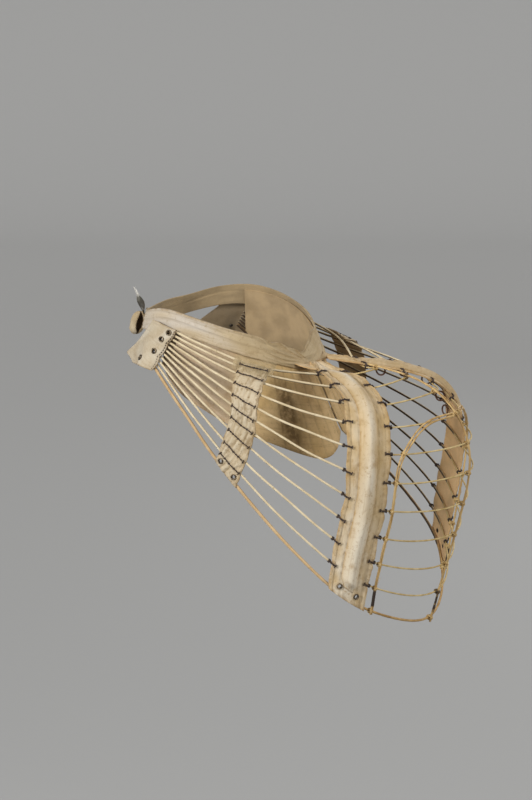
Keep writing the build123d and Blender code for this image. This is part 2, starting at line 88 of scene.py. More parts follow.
# Lines of the tab past the hoops: angle, top and bottom in tape widths, and share of its stand-off
TAB_LINES = ((-36.0, 0.0, 2.2, 0.25), (-57.0, 0.95, 2.0, 1.0))
LEAF_S = [0.42, 0.86, 1.0, 0.84, 0.40, 0.24, 0.10]
TAB, FAN, FRONT, REAR, BACK = range(5)
CLOTH_LIFT = RIM_R + GAP
CLOTH_TOP = CLOTH_LIFT + CLOTH_T
RIB_LIFT = RIM_R + GAP + RIB_R

# Sizes of the looks alone
# Lengths of cloth to one hoop, to one degree, and across
BAND_PITCH, PATCH_PITCH, BELT_DEGREE, YOKE_DEGREE, YOKE_HEM_DEGREE = 24.0, 15.0, 1.8, 1.95, 1.9
BAND_W, CASING_SPREAD, TAB_L, TAB_H, GUSSET_L, GUSSET_W, NET_H = 50.0, 11.0, 70.0, 46.0, 40.0, 25.0, 30.0
# Radius of a hoop where it is covered and where its cane is bare, and the bare stretch
HOOP_RS, RIM_RS = (1.3, 0.95), (1.75, 1.4)
BARE_FROM, BARE_TO, BARE_FADE = 2.5, 5.5, 0.15
CANE_R, SPLINTERS, CAGE_MIDDLE = 0.95, 26, (0, 150.0, -140.0)
LASH_R, LASH_STEP, BAR_R, ROW_R, WIND_R, WIND_STEP = 0.42, 0.8, 0.72, 0.5, 0.55, 0.9
NET_R, SEAM_R = 0.26, 0.42
BAND_HEM, BELT_HEM, YOKE_HEM, TAB_HEM = 5.0, 3.2, 5.6, 3.0
# Angle of the painted shadow across the yoke, and length between its stitched channels
YOKE_SHADOW, YOKE_CHANNEL = 58.0, 13.0
# Folds at the tape's back corner and at the top of a band: where they start and their slopes
FOLD_ANGLE, FOLD_SLOPES = 86.0, (0.02, 0.13, 0.27, 0.48, 0.95)
BAND_SLOPES = (-1.1, -0.5, 0.45, 1.0)
# Dips of the tape's top edge: angle, spread in degrees, and drop
EDGE_DIPS = [(54.0, 4.0, 1.9), (62.0, 5.0, -2.0), (82.0, 6.0, 4.5), (108.0, 12.0, -7.0)]
SIDES = (("left", 1), ("right", -1))
STEP = 0.02
# Waves to a unit of length in a wave texture of scale 1
TEXTURE_WAVES = 3.18


# Shape of the cage
def spline(points, power):
    """Natural cubic spline through points; the returned function counts the points from 0."""
    p = np.asarray(points, float)
    h = np.linalg.norm(np.diff(p, axis=0), axis=1) ** power
    n = len(p)
    a = np.zeros((n, n))
    r = np.zeros_like(p)
    a[0, 0] = a[-1, -1] = 1
    for i in range(1, n - 1):
        a[i, i - 1:i + 2] = h[i - 1], 2 * (h[i - 1] + h[i]), h[i]
        r[i] = 6 * ((p[i + 1] - p[i]) / h[i] - (p[i] - p[i - 1]) / h[i - 1])
    m = np.linalg.solve(a, r)

    def at(station):
        s = np.asarray(station, float)
        i = np.clip(np.floor(s).astype(int), 0, n - 2)
        b = (s - i)[..., None]
        c = 1 - b
        bend = (c**3 - c) * m[i] + (b**3 - b) * m[i + 1]
        return c * p[i] + b * p[i + 1] + bend * (h[i] ** 2 / 6)[..., None]

    return at


def cage_points(shares):
    return [(x * HALF_WIDTH, WAIST_BACK + BELT_T + y * OVERHANG, z * DROP) for x, y, z in shares]


TAB_POINTS = [(WAIST_X + BELT_T + HOOP_LIFT + x * HALF_WIDTH, y * WAIST_FRONT, z * DROP)
              for x, y, z in TAB_S]
GUIDES = [spline(TAB_POINTS, 0)] + [spline(cage_points(s), 0) for s in (FAN_S, FRONT_S, REAR_S, BACK_S)]
CURVES = {}


def curve(number):
    key = round(float(number), 4)
    if key not in CURVES:
        left = np.array([g((key - 1) / 2) for g in GUIDES])
        CURVES[key] = spline(np.vstack([left, left[-2::-1] * (-1, 1, 1)]), 0.75)
    return CURVES[key]


def unit(v):
    return v / np.maximum(np.linalg.norm(v, axis=-1, keepdims=True), 1e-9)


def frame_at(numbers, stations):
    """Points, outward directions and directions along the hoop, for rows of hoop numbers."""
    p, out, along = [], [], []
    for k, s in zip(numbers, stations):
        c = curve(k)
        a = c(s + STEP) - c(s - STEP)
        d = curve(k + STEP)(s) - curve(k - STEP)(s)
        p.append(c(s))
        out.append(unit(np.cross(d, a)))
        along.append(unit(a))
    return np.array(p), np.array(out), np.array(along)


def shifted(number, station, distance):
    c = curve(number)
    run = np.linalg.norm(c(station + STEP) - c(station - STEP))
    return station + distance * 2 * STEP / run


def lifted(number, station, lift):
    p, out, _ = frame_at([number], [np.atleast_1d(float(station))])
    return p[0, 0] + out[0, 0] * lift


def body(degrees, below, out):
    """Point below the belt's middle line and out from its inner face, as arrays."""
    t = np.radians(degrees)
    below = np.asarray(below, float)
    depth = np.where(np.sin(t) > 0, WAIST_BACK, WAIST_FRONT)
    flare = FLARE_SIDE + np.where(np.sin(t) > 0, (FLARE_BACK - FLARE_SIDE) * np.sin(t) ** 2, 0)
    n = unit(np.stack([np.cos(t) / WAIST_X, np.sin(t) / depth, 0 * t], -1))
    z = BELT_MEAN - BELT_DIP * np.sin(t) + BELT_RISE * np.cos(2 * t)
    rim = np.stack([WAIST_X * np.cos(t) + 0 * below, depth * np.sin(t) + 0 * below, z - below], -1)
    return rim + n * (flare * below + out)[..., None]


def waves(u, v, seed, along, across=1.0, count=7):
    """Smooth unrepeating relief between about -1 and 1; along and across are lengths of a wave."""
    rng = np.random.default_rng(seed)
    total = 0
    for _ in range(count):
        a, b = rng.uniform(0.35, 1.0, 2) * rng.choice([-1, 1], 2)
        phase = rng.uniform(0, 2 * math.pi)
        total = total + np.sin(2 * math.pi * (a * u / along + b * v / across) + phase)
    return total / count**0.5 / 1.2


def ripple(u, seed, along, count):
    return waves(u, 0, seed, along, count=count)


def peak(x, width):
    return np.exp(-((x / width) ** 2))


def grid(rows, columns):
    return np.meshgrid(rows, columns, indexing="ij")


def circle(count):
    return np.linspace(0, 2 * math.pi, count, endpoint=False)[:, None]


def lengths(p):
    return np.r_[0, np.cumsum(np.linalg.norm(np.diff(p, axis=0), axis=1))]


def raised(p, out, lift):
    return p + out * np.asarray(lift)[..., None]


def smooth(x, low, high):
    t = np.clip((x - low) / (high - low), 0, 1)
    return t * t * (3 - 2 * t)


def fan_folds(along, across, slopes, width):
    """Ridges that fan out from the origin of two lengths, from 0 between them to 1 on each."""
    ridges = [peak(across - slope * along, width) for slope in slopes]
    return np.max(ridges, axis=0)


def clear_of(points, seats):
    """0 under an eyelet, rising to 1 a few millimetres away, so that the cloth lies flat there."""
    free = np.ones(points.shape[:2])
    for seat, _ in seats:
        free = np.minimum(free, smooth(np.linalg.norm(points - seat, axis=2), 4.0, 9.0))
    return free


def cage_seats(number, station, lift):
    seats = []
    for side in (-0.5, 0.5):
        s = shifted(number, station, side * EYELET_SPACING)
        p, out, _ = frame_at([number], [np.array([s])])
        seats.append((p[0, 0] + out[0, 0] * lift, out[0, 0]))
    return seats


def turned(seats, side):
    return [(seat * (side, 1, 1), direction * (side, 1, 1)) for seat, direction in seats]


# Meshes
class Mesh:
    """Collects points and faces of one piece, with a mask (edge, inner, tint), dirt and painted shade, and
    lengths for weave.
    """

    def __init__(self):
        self.v, self.f, self.m, self.uv, self.dirt, self.n = [], [], [], [], [], 0

    def add(self, v, f, m, uv, dirt=0.0):
        self.v.append(v)
        self.f.append(f + self.n)
        self.m.append(m)
        self.uv.append(uv)
        self.dirt.append(np.broadcast_to(np.asarray(dirt, float), (len(v),)))
        self.n += len(v)

    def shell(self, outer, inner, tint=0.0, flip=False, edge=5.0, back=1.0, holes=(), dirt=0.0):
        """Closed sheet between two grids of points; holes are pairs of a seat and its direction."""
        nu, nv = outer.shape[:2]
        du = np.zeros((nu, nv))
        dv = np.zeros((nu, nv))
        du[1:] = np.cumsum(np.linalg.norm(np.diff(outer, axis=0), axis=2), 0)
        dv[:, 1:] = np.cumsum(np.linalg.norm(np.diff(outer, axis=1), axis=2), 1)
        near = np.minimum(np.minimum(du, du[-1] - du), np.minimum(dv, dv[:, -1:] - dv))
        m = np.zeros((nu, nv, 4))
        m[..., 0] = np.clip(1 - near / edge, 0, 1)
        m[..., 2] = np.clip(tint, 0, 1)
        m[..., 3] = 1
        m2 = m.copy()
        m2[..., 1] = back
        i = np.arange(nu * nv).reshape(nu, nv)
        j = i + nu * nv

        def quads(a, b, c, d):
            return np.stack([a.ravel(), b.ravel(), c.ravel(), d.ravel()], 1)

        kept = np.ones((nu - 1, nv - 1), bool)
        middle = (outer[1:, 1:] + outer[:-1, :-1]) / 2
        for seat, direction in holes:
            d = middle - seat
            deep = d @ direction
            wide = np.linalg.norm(d - deep[..., None] * direction, axis=2)
            kept &= (wide > EYELET_CUT) | (np.abs(deep) > 3 * EYELET_CUT)
        down, over = kept[:-1] & ~kept[1:], ~kept[:-1] & kept[1:]
        left, rite = kept[:, :-1] & ~kept[:, 1:], ~kept[:, :-1] & kept[:, 1:]
        f = [quads(i[:-1, :-1][kept], i[1:, :-1][kept], i[1:, 1:][kept], i[:-1, 1:][kept]),
             quads(j[:-1, :-1][kept], j[:-1, 1:][kept], j[1:, 1:][kept], j[1:, :-1][kept]),
             quads(i[1:-1, 1:][down], i[1:-1, :-1][down], j[1:-1, :-1][down], j[1:-1, 1:][down]),
             quads(i[1:-1, :-1][over], i[1:-1, 1:][over], j[1:-1, 1:][over], j[1:-1, :-1][over]),
             quads(i[:-1, 1:-1][left], i[1:, 1:-1][left], j[1:, 1:-1][left], j[:-1, 1:-1][left]),
             quads(i[1:, 1:-1][rite], i[:-1, 1:-1][rite], j[:-1, 1:-1][rite], j[1:, 1:-1][rite]),
             quads(i[:-1, 0], j[:-1, 0], j[1:, 0], i[1:, 0]),
             quads(i[1:, -1], j[1:, -1], j[:-1, -1], i[:-1, -1]),
             quads(i[0, 1:], j[0, 1:], j[0, :-1], i[0, :-1]),
             quads(i[-1, :-1], j[-1, :-1], j[-1, 1:], i[-1, 1:])]
        f = np.vstack(f)
        if flip:
            f = f[:, ::-1]
        uv = np.stack([du, dv], -1).reshape(-1, 2) / 1000
        soil_and_shade = np.broadcast_to(np.clip(dirt, 0, 1), (nu, nv)).ravel()
        self.add(np.vstack([outer.reshape(-1, 3), inner.reshape(-1, 3)]), f,
                 np.vstack([m.reshape(-1, 4), m2.reshape(-1, 4)]), np.vstack([uv, uv]),
                 np.r_[soil_and_shade, 0 * soil_and_shade])

    def tube(self, p, r, sides, out=None, tint=0.0, closed=False):
        """Round rod along points p with radius r at each; out marks the side that faces outward."""
        p = np.asarray(p, float)
        n = len(p)
        r = np.broadcast_to(np.asarray(r, float), (n,))
        t = unit(np.roll(p, -1, 0) - np.roll(p, 1, 0)) if closed else unit(np.gradient(p, axis=0))
        a = np.zeros_like(p)
        first = np.array([0.0, 0, 1]) if abs(t[0][2]) < 0.9 else np.array([1.0, 0, 0])
        a[0] = unit(np.cross(t[0], first))
        for i in range(1, n):
            a[i] = unit(a[i - 1] - t[i] * np.dot(a[i - 1], t[i]))
        b = np.cross(t, a)
        ang = circle(sides)[:, 0]
        ring = a[:, None] * np.cos(ang)[None, :, None] + b[:, None] * np.sin(ang)[None, :, None]
        v = p[:, None] + ring * r[:, None, None]
        m = np.zeros((n, sides, 4))
        m[..., 3] = 1
        m[..., 2] = np.broadcast_to(np.asarray(tint, float), (n,))[:, None]
        # The inward side goes into the inner mask, which the hoop material paints as shade
        if out is not None:
            m[..., 1] = smooth(-(ring * out[:, None]).sum(2), -0.1, 0.7)
        length = lengths(p) / 1000
        uv = np.stack(np.broadcast_arrays(length[:, None], ang[None] / 2 / math.pi * 0.008), -1)
        i = np.arange(n * sides).reshape(n, sides)
        k = np.roll(i, -1, 1)
        top, low = (i, k) if closed else (i[:-1], k[:-1])
        nxt, nlow = (np.roll(i, -1, 0), np.roll(k, -1, 0)) if closed else (i[1:], k[1:])
        f = np.stack([top.ravel(), low.ravel(), nlow.ravel(), nxt.ravel()], 1)
        self.add(v.reshape(-1, 3), f, m.reshape(-1, 4), uv.reshape(-1, 2))
        if not closed:
            c = self.n - n * sides
            for end, line in ((0, i[0][::-1]), (-1, i[-1])):
                tip = p[end] + t[end] * r[end] * (0.45 if end else -0.45)
                self.add(tip[None], np.empty((0, 4), int), m[end, :1], uv[end, :1])
                pairs = zip(c + line, c + np.roll(line, -1))
                self.f.append(np.array([[a, b, self.n - 1, self.n - 1] for a, b in pairs]))

    def make(self, node, kind, stands_for=True):
        """The piece itself, in place of the node unless it is an extra one."""
        name = node + "_look" if stands_for else node
        used, f = np.unique(np.vstack(self.f), return_inverse=True)
        f = f.reshape(-1, 4)
        v = np.vstack(self.v)[used] / 1000
        uv = np.vstack(self.uv)[used]
        mask_values = np.vstack(self.m)[used].astype(np.float32)
        faces = [[a, b, c] if c == d else [a, b, c, d] for a, b, c, d in f.tolist()]
        mesh = bpy.data.meshes.new(name)
        mesh.from_pydata(v.tolist(), [], faces)
        mask = mesh.color_attributes.new("mask", "FLOAT_COLOR", "POINT")
        mask.data.foreach_set("color", mask_values.ravel())
        soil_and_shade = mesh.attributes.new("dirt", "FLOAT", "POINT")
        soil_and_shade.data.foreach_set("value", np.concatenate(self.dirt)[used].astype(np.float32))
        layer = mesh.uv_layers.new(name="weave")
        corner = np.empty(len(mesh.loops), np.int32)
        mesh.loops.foreach_get("vertex_index", corner)
        layer.data.foreach_set("uv", uv[corner].astype(np.float32).ravel())
        mesh.polygons.foreach_set("use_smooth", np.ones(len(mesh.polygons), bool))
        mesh.materials.append(MAT[kind])
        mesh.update()
        o = bpy.data.objects.new(name, mesh)
        bpy.context.collection.objects.link(o)
        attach(o, "root")
        if stands_for:
            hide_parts(node)
        return o


# Materials
class Nodes:
    def __init__(self, name):
        self.material = bpy.data.materials.new(name)
        self.material.use_nodes = True
        self.tree = self.material.node_tree
        self.shader = self.tree.nodes["Principled BSDF"]
        self.coords = self.new("ShaderNodeTexCoord").outputs["Object"]

    def new(self, kind, **values):
        node = self.tree.nodes.new(kind)
        for key, value in values.items():
            setattr(node, key, value)
        return node

    def put(self, socket, value):
        if isinstance(value, bpy.types.NodeSocket):
            self.tree.links.new(value, socket)
        else:
            socket.default_value = value

    def noise(self, scale, detail=4.0, rough=0.55, coords=None, stretch=None):
        coords = coords or self.coords
        if stretch:
            mapping = self.new("ShaderNodeMapping")
            self.put(mapping.inputs["Vector"], coords)
            mapping.inputs["Scale"].default_value = stretch
            coords = mapping.outputs["Vector"]
        n = self.new("ShaderNodeTexNoise")
        self.put(n.inputs["Vector"], coords)
        self.put(n.inputs["Scale"], scale)
        self.put(n.inputs["Detail"], detail)
        self.put(n.inputs["Roughness"], rough)
        return n.outputs["Fac"]

    def ramp(self, value, low, high, to_low=0.0, to_high=1.0):
        n = self.new("ShaderNodeMapRange", interpolation_type="SMOOTHSTEP")
        for key, x in (("Value", value), ("From Min", low), ("From Max", high),
                       ("To Min", to_low), ("To Max", to_high)):
            self.put(n.inputs[key], x)
        return n.outputs["Result"]

    def math(self, kind, a, b):
        n = self.new("ShaderNodeMath", operation=kind)
        self.put(n.inputs[0], a)
        self.put(n.inputs[1], b)
        return n.outputs[0]

    def mix(self, fac, a, b):
        n = self.new("ShaderNodeMix", data_type="RGBA")
        self.put(n.inputs[0], fac)
        for socket, x in ((n.inputs[6], a), (n.inputs[7], b)):
            self.put(socket, (*x, 1.0) if isinstance(x, tuple) else x)
        return n.outputs[2]

    def mask(self):
        a = self.new("ShaderNodeAttribute", attribute_name="mask")
        s = self.new("ShaderNodeSeparateColor")
        self.put(s.inputs[0], a.outputs["Color"])
        return s.outputs[0], s.outputs[1], s.outputs[2]

    def weave(self, threads):
        """Plain weave from the sheet's own lengths, in threads per metre."""
        uv = self.new("ShaderNodeUVMap", uv_map="weave").outputs[0]
        parts = []
        for direction in ("X", "Y"):
            w = self.new("ShaderNodeTexWave", bands_direction=direction)
            self.put(w.inputs["Vector"], uv)
            self.put(w.inputs["Scale"], threads / TEXTURE_WAVES)
            self.put(w.inputs["Distortion"], 0.6)
            self.put(w.inputs["Detail"], 1.0)
            parts.append(w.outputs["Fac"])
        return self.math("MULTIPLY", parts[0], parts[1])

    def bump(self, height, strength, distance):
        n = self.new("ShaderNodeBump")
        self.put(n.inputs["Height"], height)
        n.inputs["Strength"].default_value = strength
        n.inputs["Distance"].default_value = distance
        self.put(self.shader.inputs["Normal"], n.outputs["Normal"])

    def finish(self, color, roughness, metallic=0.0, sheen=0.0, specular=0.3):
        self.put(self.shader.inputs["Base Color"], color)
        self.put(self.shader.inputs["Roughness"], roughness)
        self.shader.inputs["Metallic"].default_value = metallic
        self.shader.inputs["Specular IOR Level"].default_value = specular
        if sheen:
            self.shader.inputs["Sheen Weight"].default_value = sheen
        return self.material


def cloth_material(name, pale, deep, stain, inner, bleach, stains, threads, grain):
    n = Nodes(name)
    edge, back, tint = n.mask()
    uv = n.new("ShaderNodeUVMap", uv_map="weave").outputs[0]
    dirt = n.new("ShaderNodeAttribute", attribute_name="dirt").outputs["Fac"]
    color = n.mix(n.ramp(n.noise(26, 5, 0.6), 0.34, 0.66), pale, deep)
    color = n.mix(n.ramp(tint, 0.0, 1.0), color, bleach)
    blots = n.ramp(n.noise(42, 6, 0.68), 0.52, 0.70, 0.0, stains)
    flecks = n.ramp(n.noise(240, 4, 0.72), 0.55, 0.70, 0.0, stains)
    creases = n.ramp(n.noise(320, 3, 0.6, uv, (0.05, 1.0, 1.0)), 0.50, 0.72, 0.0, 0.3)
    worn = n.math("MULTIPLY", edge, n.ramp(n.noise(120, 4, 0.6), 0.35, 0.65, 0.15, 0.85))
    for share in (blots, flecks, creases, worn):
        color = n.mix(share, color, stain)
    # Darker where dirt sits along seams and stitch lines, and where shade is painted into folds, valleys and
    # cast shadows
    soil_and_shade = n.math("MULTIPLY", dirt, n.ramp(n.noise(150, 4, 0.6), 0.3, 0.6, 0.45, 1.0))
    color = n.mix(soil_and_shade, color, tuple(0.5 * c for c in stain))
    lining_and_shade = n.mix(n.ramp(n.noise(40, 4), 0.35, 0.65), inner, tuple(0.72 * c for c in inner))
    color = n.mix(n.math("MULTIPLY", back, 0.85), color, lining_and_shade)
    weave = n.weave(threads)
    color = n.mix(n.ramp(weave, 0.0, 0.5, 0.22, 0.0), color, tuple(0.45 * c for c in deep))
    fuzz = n.math("ADD", n.math("MULTIPLY", weave, 0.6), n.math("MULTIPLY", n.noise(420, 4, 0.6), grain))
    n.bump(fuzz, 0.45, 0.0006)
    return n.finish(color, n.ramp(n.noise(90), 0.3, 0.7, 0.78, 0.95), sheen=0.12, specular=0.15)


def hoop_material(name, pale, deep, cane, cane_deep):
    """Covered outside with painted shade on the side that faces inward, and bare cane where the tint is full.
    """
    n = Nodes(name)
    _, inner, tint = n.mask()
    cover = n.mix(n.ramp(n.noise(60, 5, 0.6), 0.33, 0.68), pale, deep)
    bare = n.mix(n.ramp(n.noise(90, 4, 0.6), 0.35, 0.65), cane, cane_deep)
    color = n.mix(n.ramp(tint, 0.3, 0.7), cover, bare)
    speck = n.ramp(n.noise(220, 5, 0.7), 0.60, 0.72, 0.0, 0.75)
    color = n.mix(speck, color, tuple(0.45 * c for c in cane_deep))
    # Painted shade on the inward side of each hoop, less where the cane is bare
    shade = n.math("MULTIPLY", inner, n.math("SUBTRACT", 1.0, n.ramp(tint, 0.3, 0.7, 0.0, 0.6)))
    color = n.mix(shade, color, (0.055, 0.032, 0.016))
    w = n.new("ShaderNodeTexWave", bands_direction="DIAGONAL")
    n.put(w.inputs["Vector"], n.new("ShaderNodeUVMap", uv_map="weave").outputs[0])
    n.put(w.inputs["Scale"], 330.0)
    n.bump(n.math("ADD", n.math("MULTIPLY", w.outputs["Fac"], 0.5), n.noise(500, 3)), 0.35, 0.0005)
    return n.finish(color, n.ramp(n.noise(150), 0.3, 0.7, 0.55, 0.8), specular=0.25)


def cane_material():
    n = Nodes("golden_cane")
    fibre = n.noise(170, 5, 0.6, stretch=(1.0, 1.0, 0.12))
    color = n.mix(n.ramp(fibre, 0.32, 0.68), (0.66, 0.46, 0.20), (0.42, 0.25, 0.085))
    color = n.mix(n.ramp(n.mask()[2], 0.35, 0.75), color, (0.045, 0.028, 0.018))
    n.bump(n.math("ADD", fibre, n.math("MULTIPLY", n.noise(380, 3), 0.4)), 0.5, 0.0005)
    return n.finish(color, n.ramp(n.noise(120), 0.3, 0.7, 0.38, 0.6), specular=0.4)


def mottled(name, grain, span, first, second, rough, bump=None, over=None, **finish):
    """Two colours in patches, and a third where the tint is; rough is a value, or a noise and two values."""
    n = Nodes(name)
    color = n.mix(n.ramp(n.noise(*grain), *span), first, second)
    if over:
        color = n.mix(n.mask()[2], color, over)
    if bump:
        scale, detail, strength, distance = bump
        n.bump(n.noise(scale, detail), strength, distance)
    if isinstance(rough, tuple):
        rough = n.ramp(n.noise(rough[0]), 0.3, 0.7, *rough[1:])
    return n.finish(color, rough, **finish)


# Pale, deep, stain, inner and bleached colours, then stains, threads to a metre and grain
MAT = {key: cloth_material(*row) for key, row in {
    "tape": ("tape_cotton", (0.60, 0.47, 0.285), (0.51, 0.385, 0.215), (0.33, 0.22, 0.10),
             (0.40, 0.29, 0.16), (0.61, 0.545, 0.46), 0.5, 900, 0.5),
    # The loop's inner colour is painted shade inside the roll
    "loop": ("loop_cotton", (0.58, 0.47, 0.31), (0.47, 0.36, 0.21), (0.33, 0.22, 0.10),
             (0.13, 0.07, 0.03), (0.66, 0.58, 0.43), 0.6, 900, 0.5),
    "yoke": ("yoke_twill", (0.78, 0.56, 0.285), (0.67, 0.46, 0.205), (0.36, 0.22, 0.09),
             (0.46, 0.33, 0.18), (0.48, 0.38, 0.29), 0.5, 800, 0.5),
    "band": ("band_cotton", (0.70, 0.54, 0.33), (0.60, 0.43, 0.215), (0.42, 0.25, 0.09),
             (0.78, 0.50, 0.24), (0.83, 0.74, 0.585), 0.6, 850, 0.5),
    "patch": ("patch_canvas", (0.64, 0.53, 0.37), (0.53, 0.41, 0.25), (0.28, 0.18, 0.08),
              (0.34, 0.24, 0.13), (0.70, 0.62, 0.47), 0.8, 700, 0.7),
    "tab": ("tab_leather", (0.60, 0.51, 0.37), (0.52, 0.42, 0.28), (0.34, 0.23, 0.12),
            (0.30, 0.21, 0.11), (0.70, 0.63, 0.50), 0.45, 1100, 0.9)}.items()}
MAT["hoop"] = hoop_material("covered_hoop", (0.74, 0.63, 0.43), (0.61, 0.49, 0.30), (0.70, 0.55, 0.28),
                            (0.52, 0.36, 0.14))
MAT["rim"] = hoop_material("rim_cane", (0.62, 0.44, 0.235), (0.52, 0.345, 0.165), (0.58, 0.38, 0.16),
                           (0.40, 0.23, 0.08))
MAT["cane"] = cane_material()
MAT["net"] = mottled("net_thread", (140,), (0.35, 0.65), (0.56, 0.44, 0.26), (0.43, 0.33, 0.18), 0.9,
                     (900, 2, 0.4, 0.0003))
MAT["lash"] = mottled("lashing_thread", (260, 3), (0.35, 0.65), (0.64, 0.47, 0.22), (0.38, 0.23, 0.085), 0.8,
                      (1300, 2, 0.5, 0.0003), (0.07, 0.042, 0.025))
MAT["thread"] = mottled("dark_thread", (420, 3), (0.3, 0.7), (0.030, 0.020, 0.017), (0.075, 0.048, 0.034),
                        (300, 0.5, 0.8), (1500, 2, 0.6, 0.0003), specular=0.35)
MAT["eyelet"] = mottled("eyelet_brass", (300, 4), (0.42, 0.62), (0.055, 0.042, 0.032), (0.26, 0.20, 0.13),
                        (260, 0.35, 0.6), (700, 3, 0.3, 0.0002), metallic=0.8)
MAT["ring"] = mottled("bound_ring", (220, 4), (0.35, 0.65), (0.075, 0.036, 0.022), (0.17, 0.085, 0.05),
                      (200, 0.45, 0.7), (600, 3, 0.5, 0.0004), specular=0.4)
MAT["steel"] = mottled("spring_steel", (200, 4), (0.4, 0.65), (0.42, 0.41, 0.39), (0.26, 0.17, 0.10),
                       (300, 0.3, 0.55), metallic=0.9)
# Dark metal, with a painted highlight at the tip where the tint is
MAT["hook"] = mottled("hook_painted_glint", (110, 4), (0.45, 0.70), (0.115, 0.108, 0.088), (0.055, 0.05, 0.04),
                      (240, 0.40, 0.55), (300, 3, 0.15, 0.0002), (0.62, 0.60, 0.55), metallic=0.7)


def shell(node, kind, faces, side=1, holes=(), **looks):
    """One shell between two grids in place of a node, mirrored for the right side."""
    mesh = Mesh()
    mesh.shell(*(face * (side, 1, 1) for face in faces), holes=turned(holes, side), **looks)
    return mesh.make(node, kind)


# Hoops and canes
def hoops():
    s = np.linspace(-HOOP_PAST, 2 * BACK + HOOP_PAST, 400)
    bare = smooth(s, BARE_FROM - BARE_FADE, BARE_FROM + BARE_FADE)
    bare = bare * (1 - smooth(s, BARE_TO - BARE_FADE, BARE_TO + BARE_FADE))
    free = np.sin(np.pi * np.clip(s, 0, 1)) ** 2 + np.sin(np.pi * np.clip(s - 1, 0, 1)) ** 2 + bare * 0.6
    for number in range(1, HOOPS + 1):
        rim = number == HOOPS
        p, out, along = (g[0] for g in frame_at([number], [s]))
        length = lengths(p)
        p = raised(p, np.cross(out, along), 0.7 * free * ripple(length, 40 + number, 110, 4))
        covered, thin = RIM_RS if rim else HOOP_RS
        r = covered + (thin - covered) * bare + 0.06 * ripple(length, 70 + number, 14, 5)
        mesh = Mesh()
        mesh.tube(p, r, 10, out, bare)
        mesh.make("rim_hoop" if rim else "hoop_%02d" % number, "rim" if rim else "hoop")


def lashing_turns(mesh, number, station, rib_dir, side, seed, dark=0.0):
    """Cross lashing of thread round a hoop and the cane on it."""
    rng = np.random.default_rng(seed)
    p, out, along = (g[0, 0] for g in frame_at([number], [np.array([float(station)])]))
    r = RIM_R if number == HOOPS else HOOP_R
    centre = p + out * ((RIB_LIFT + RIB_R - r) / 2)
    half = (RIB_LIFT + RIB_R + r) / 2
    a = circle(20)
    for turn in (1, -1):
        axis = unit(along * turn + unit(rib_dir))
        wide = unit(np.cross(axis, out))
        for i in (-1, 0, 1):
            move = axis * (i * LASH_STEP + rng.uniform(-0.2, 0.2))
            q = centre + move + wide * np.cos(a) * (half * 0.86 + rng.uniform(0.0, 0.3))
            q = q + out * np.sin(a) * (half + 0.35 + rng.uniform(0.0, 0.25))
            mesh.tube(q * (side, 1, 1), LASH_R, 6, None, dark, closed=True)


def splinters(mesh, p, out, side):
    """Loose fibres that stand off a worn cane."""
    rng = np.random.default_rng(700 + side)
    t = np.linspace(0, 1, 6)[:, None]
    along = unit(np.gradient(p, axis=0))
    for _ in range(SPLINTERS):
        i = rng.integers(8, len(p) // 2)
        away = unit(out[i] * rng.uniform(0.2, 1.0) + np.cross(along[i], out[i]) * rng.uniform(-1.0, 1.0))
        run = along[i] * rng.uniform(5.0, 14.0) * t * rng.choice([-1, 1])
        line = p[i] + run + away * (0.9 + rng.uniform(0.6, 2.6) * t**2)
        mesh.tube(line * (side, 1, 1), 0.24 - 0.10 * t[:, 0], 5)


def centre_rib():
    numbers = np.linspace(RIB_TOP, HOOPS + RIB_PAST, 150)
    p = np.array([lifted(k, BACK, RIB_LIFT) for k in numbers])
    out = unit(p - np.array(CAGE_MIDDLE))
    length = lengths(p)
    low = smooth(numbers, 9.6, 10.1) * (1 - smooth(numbers, 10.7, 10.9))
    mesh = Mesh()
    for i, off in enumerate((-1.0, 1.0)):
        q = raised(p, np.array([1.0, 0, 0]), off + 0.5 * ripple(length, 5 + i, 60, 4))
        r = CANE_R + 0.12 * ripple(length, 15 + i, 22, 5) + 0.25 * low
        mesh.tube(q, r, 8, out, low * (0.75 + 0.3 * ripple(length, 3, 4, 4)))
    mesh.make("centre_rib", "cane")
    mesh = Mesh()
    for number in range(1, HOOPS + 1):
        d = lifted(number + STEP, BACK, RIB_LIFT) - lifted(number - STEP, BACK, RIB_LIFT)
        lashing_turns(mesh, number, BACK, d, 1, 200 + number, 0.8 if number in (2, 10) else 0.0)
    mesh.make("centre_lashings", "lash")


def arch_ribs():
    places = spline([(n, s, 0) for n, s in LEG_S], 0.5)
    last = len(LEG_S) - 1
    path = places(np.linspace(0, last, 170))
    p = np.array([lifted(k, s, RIB_LIFT) for k, s, _ in path])
    out = np.array([lifted(k, s, RIB_LIFT + 1) for k, s, _ in path]) - p
    length = lengths(p)
    side_dir = unit(np.cross(unit(np.gradient(p, axis=0)), out))
    low = smooth(path[:, 0], 9.9, 10.2) * (1 - smooth(path[:, 0], 10.7, 10.9))
    high = 1 - smooth(path[:, 0], 4.3, 6.4)
    for name, side in SIDES:
        mesh = Mesh()
        for i, off in enumerate((-1.0, 1.0)):
            move = off * (0.85 + 0.9 * high) + 0.45 * ripple(length, 25 + i + side, 50, 4)
            r = CANE_R + 0.25 * high + 0.12 * ripple(length, 35 + i, 18, 5) + 0.3 * low
            mesh.tube(raised(p, side_dir, move) * (side, 1, 1), r, 8, out * (side, 1, 1), low * 0.9)
        splinters(mesh, p, out, side)
        mesh.make("arch_rib_" + name, "cane")
        mesh = Mesh()
        for index, (number, station) in enumerate(LEG_S):
            if number in range(1, HOOPS) or index == 0:
                number = min(int(number), HOOPS)
                a, b = places(min(index + STEP, last)), places(max(index - STEP, 0))
                d = lifted(a[0], a[1], RIB_LIFT) - lifted(b[0], b[1], RIB_LIFT)
                lashing_turns(mesh, number, station, d, side, 300 + number)
        mesh.make("arch_lashings_" + name, "lash")


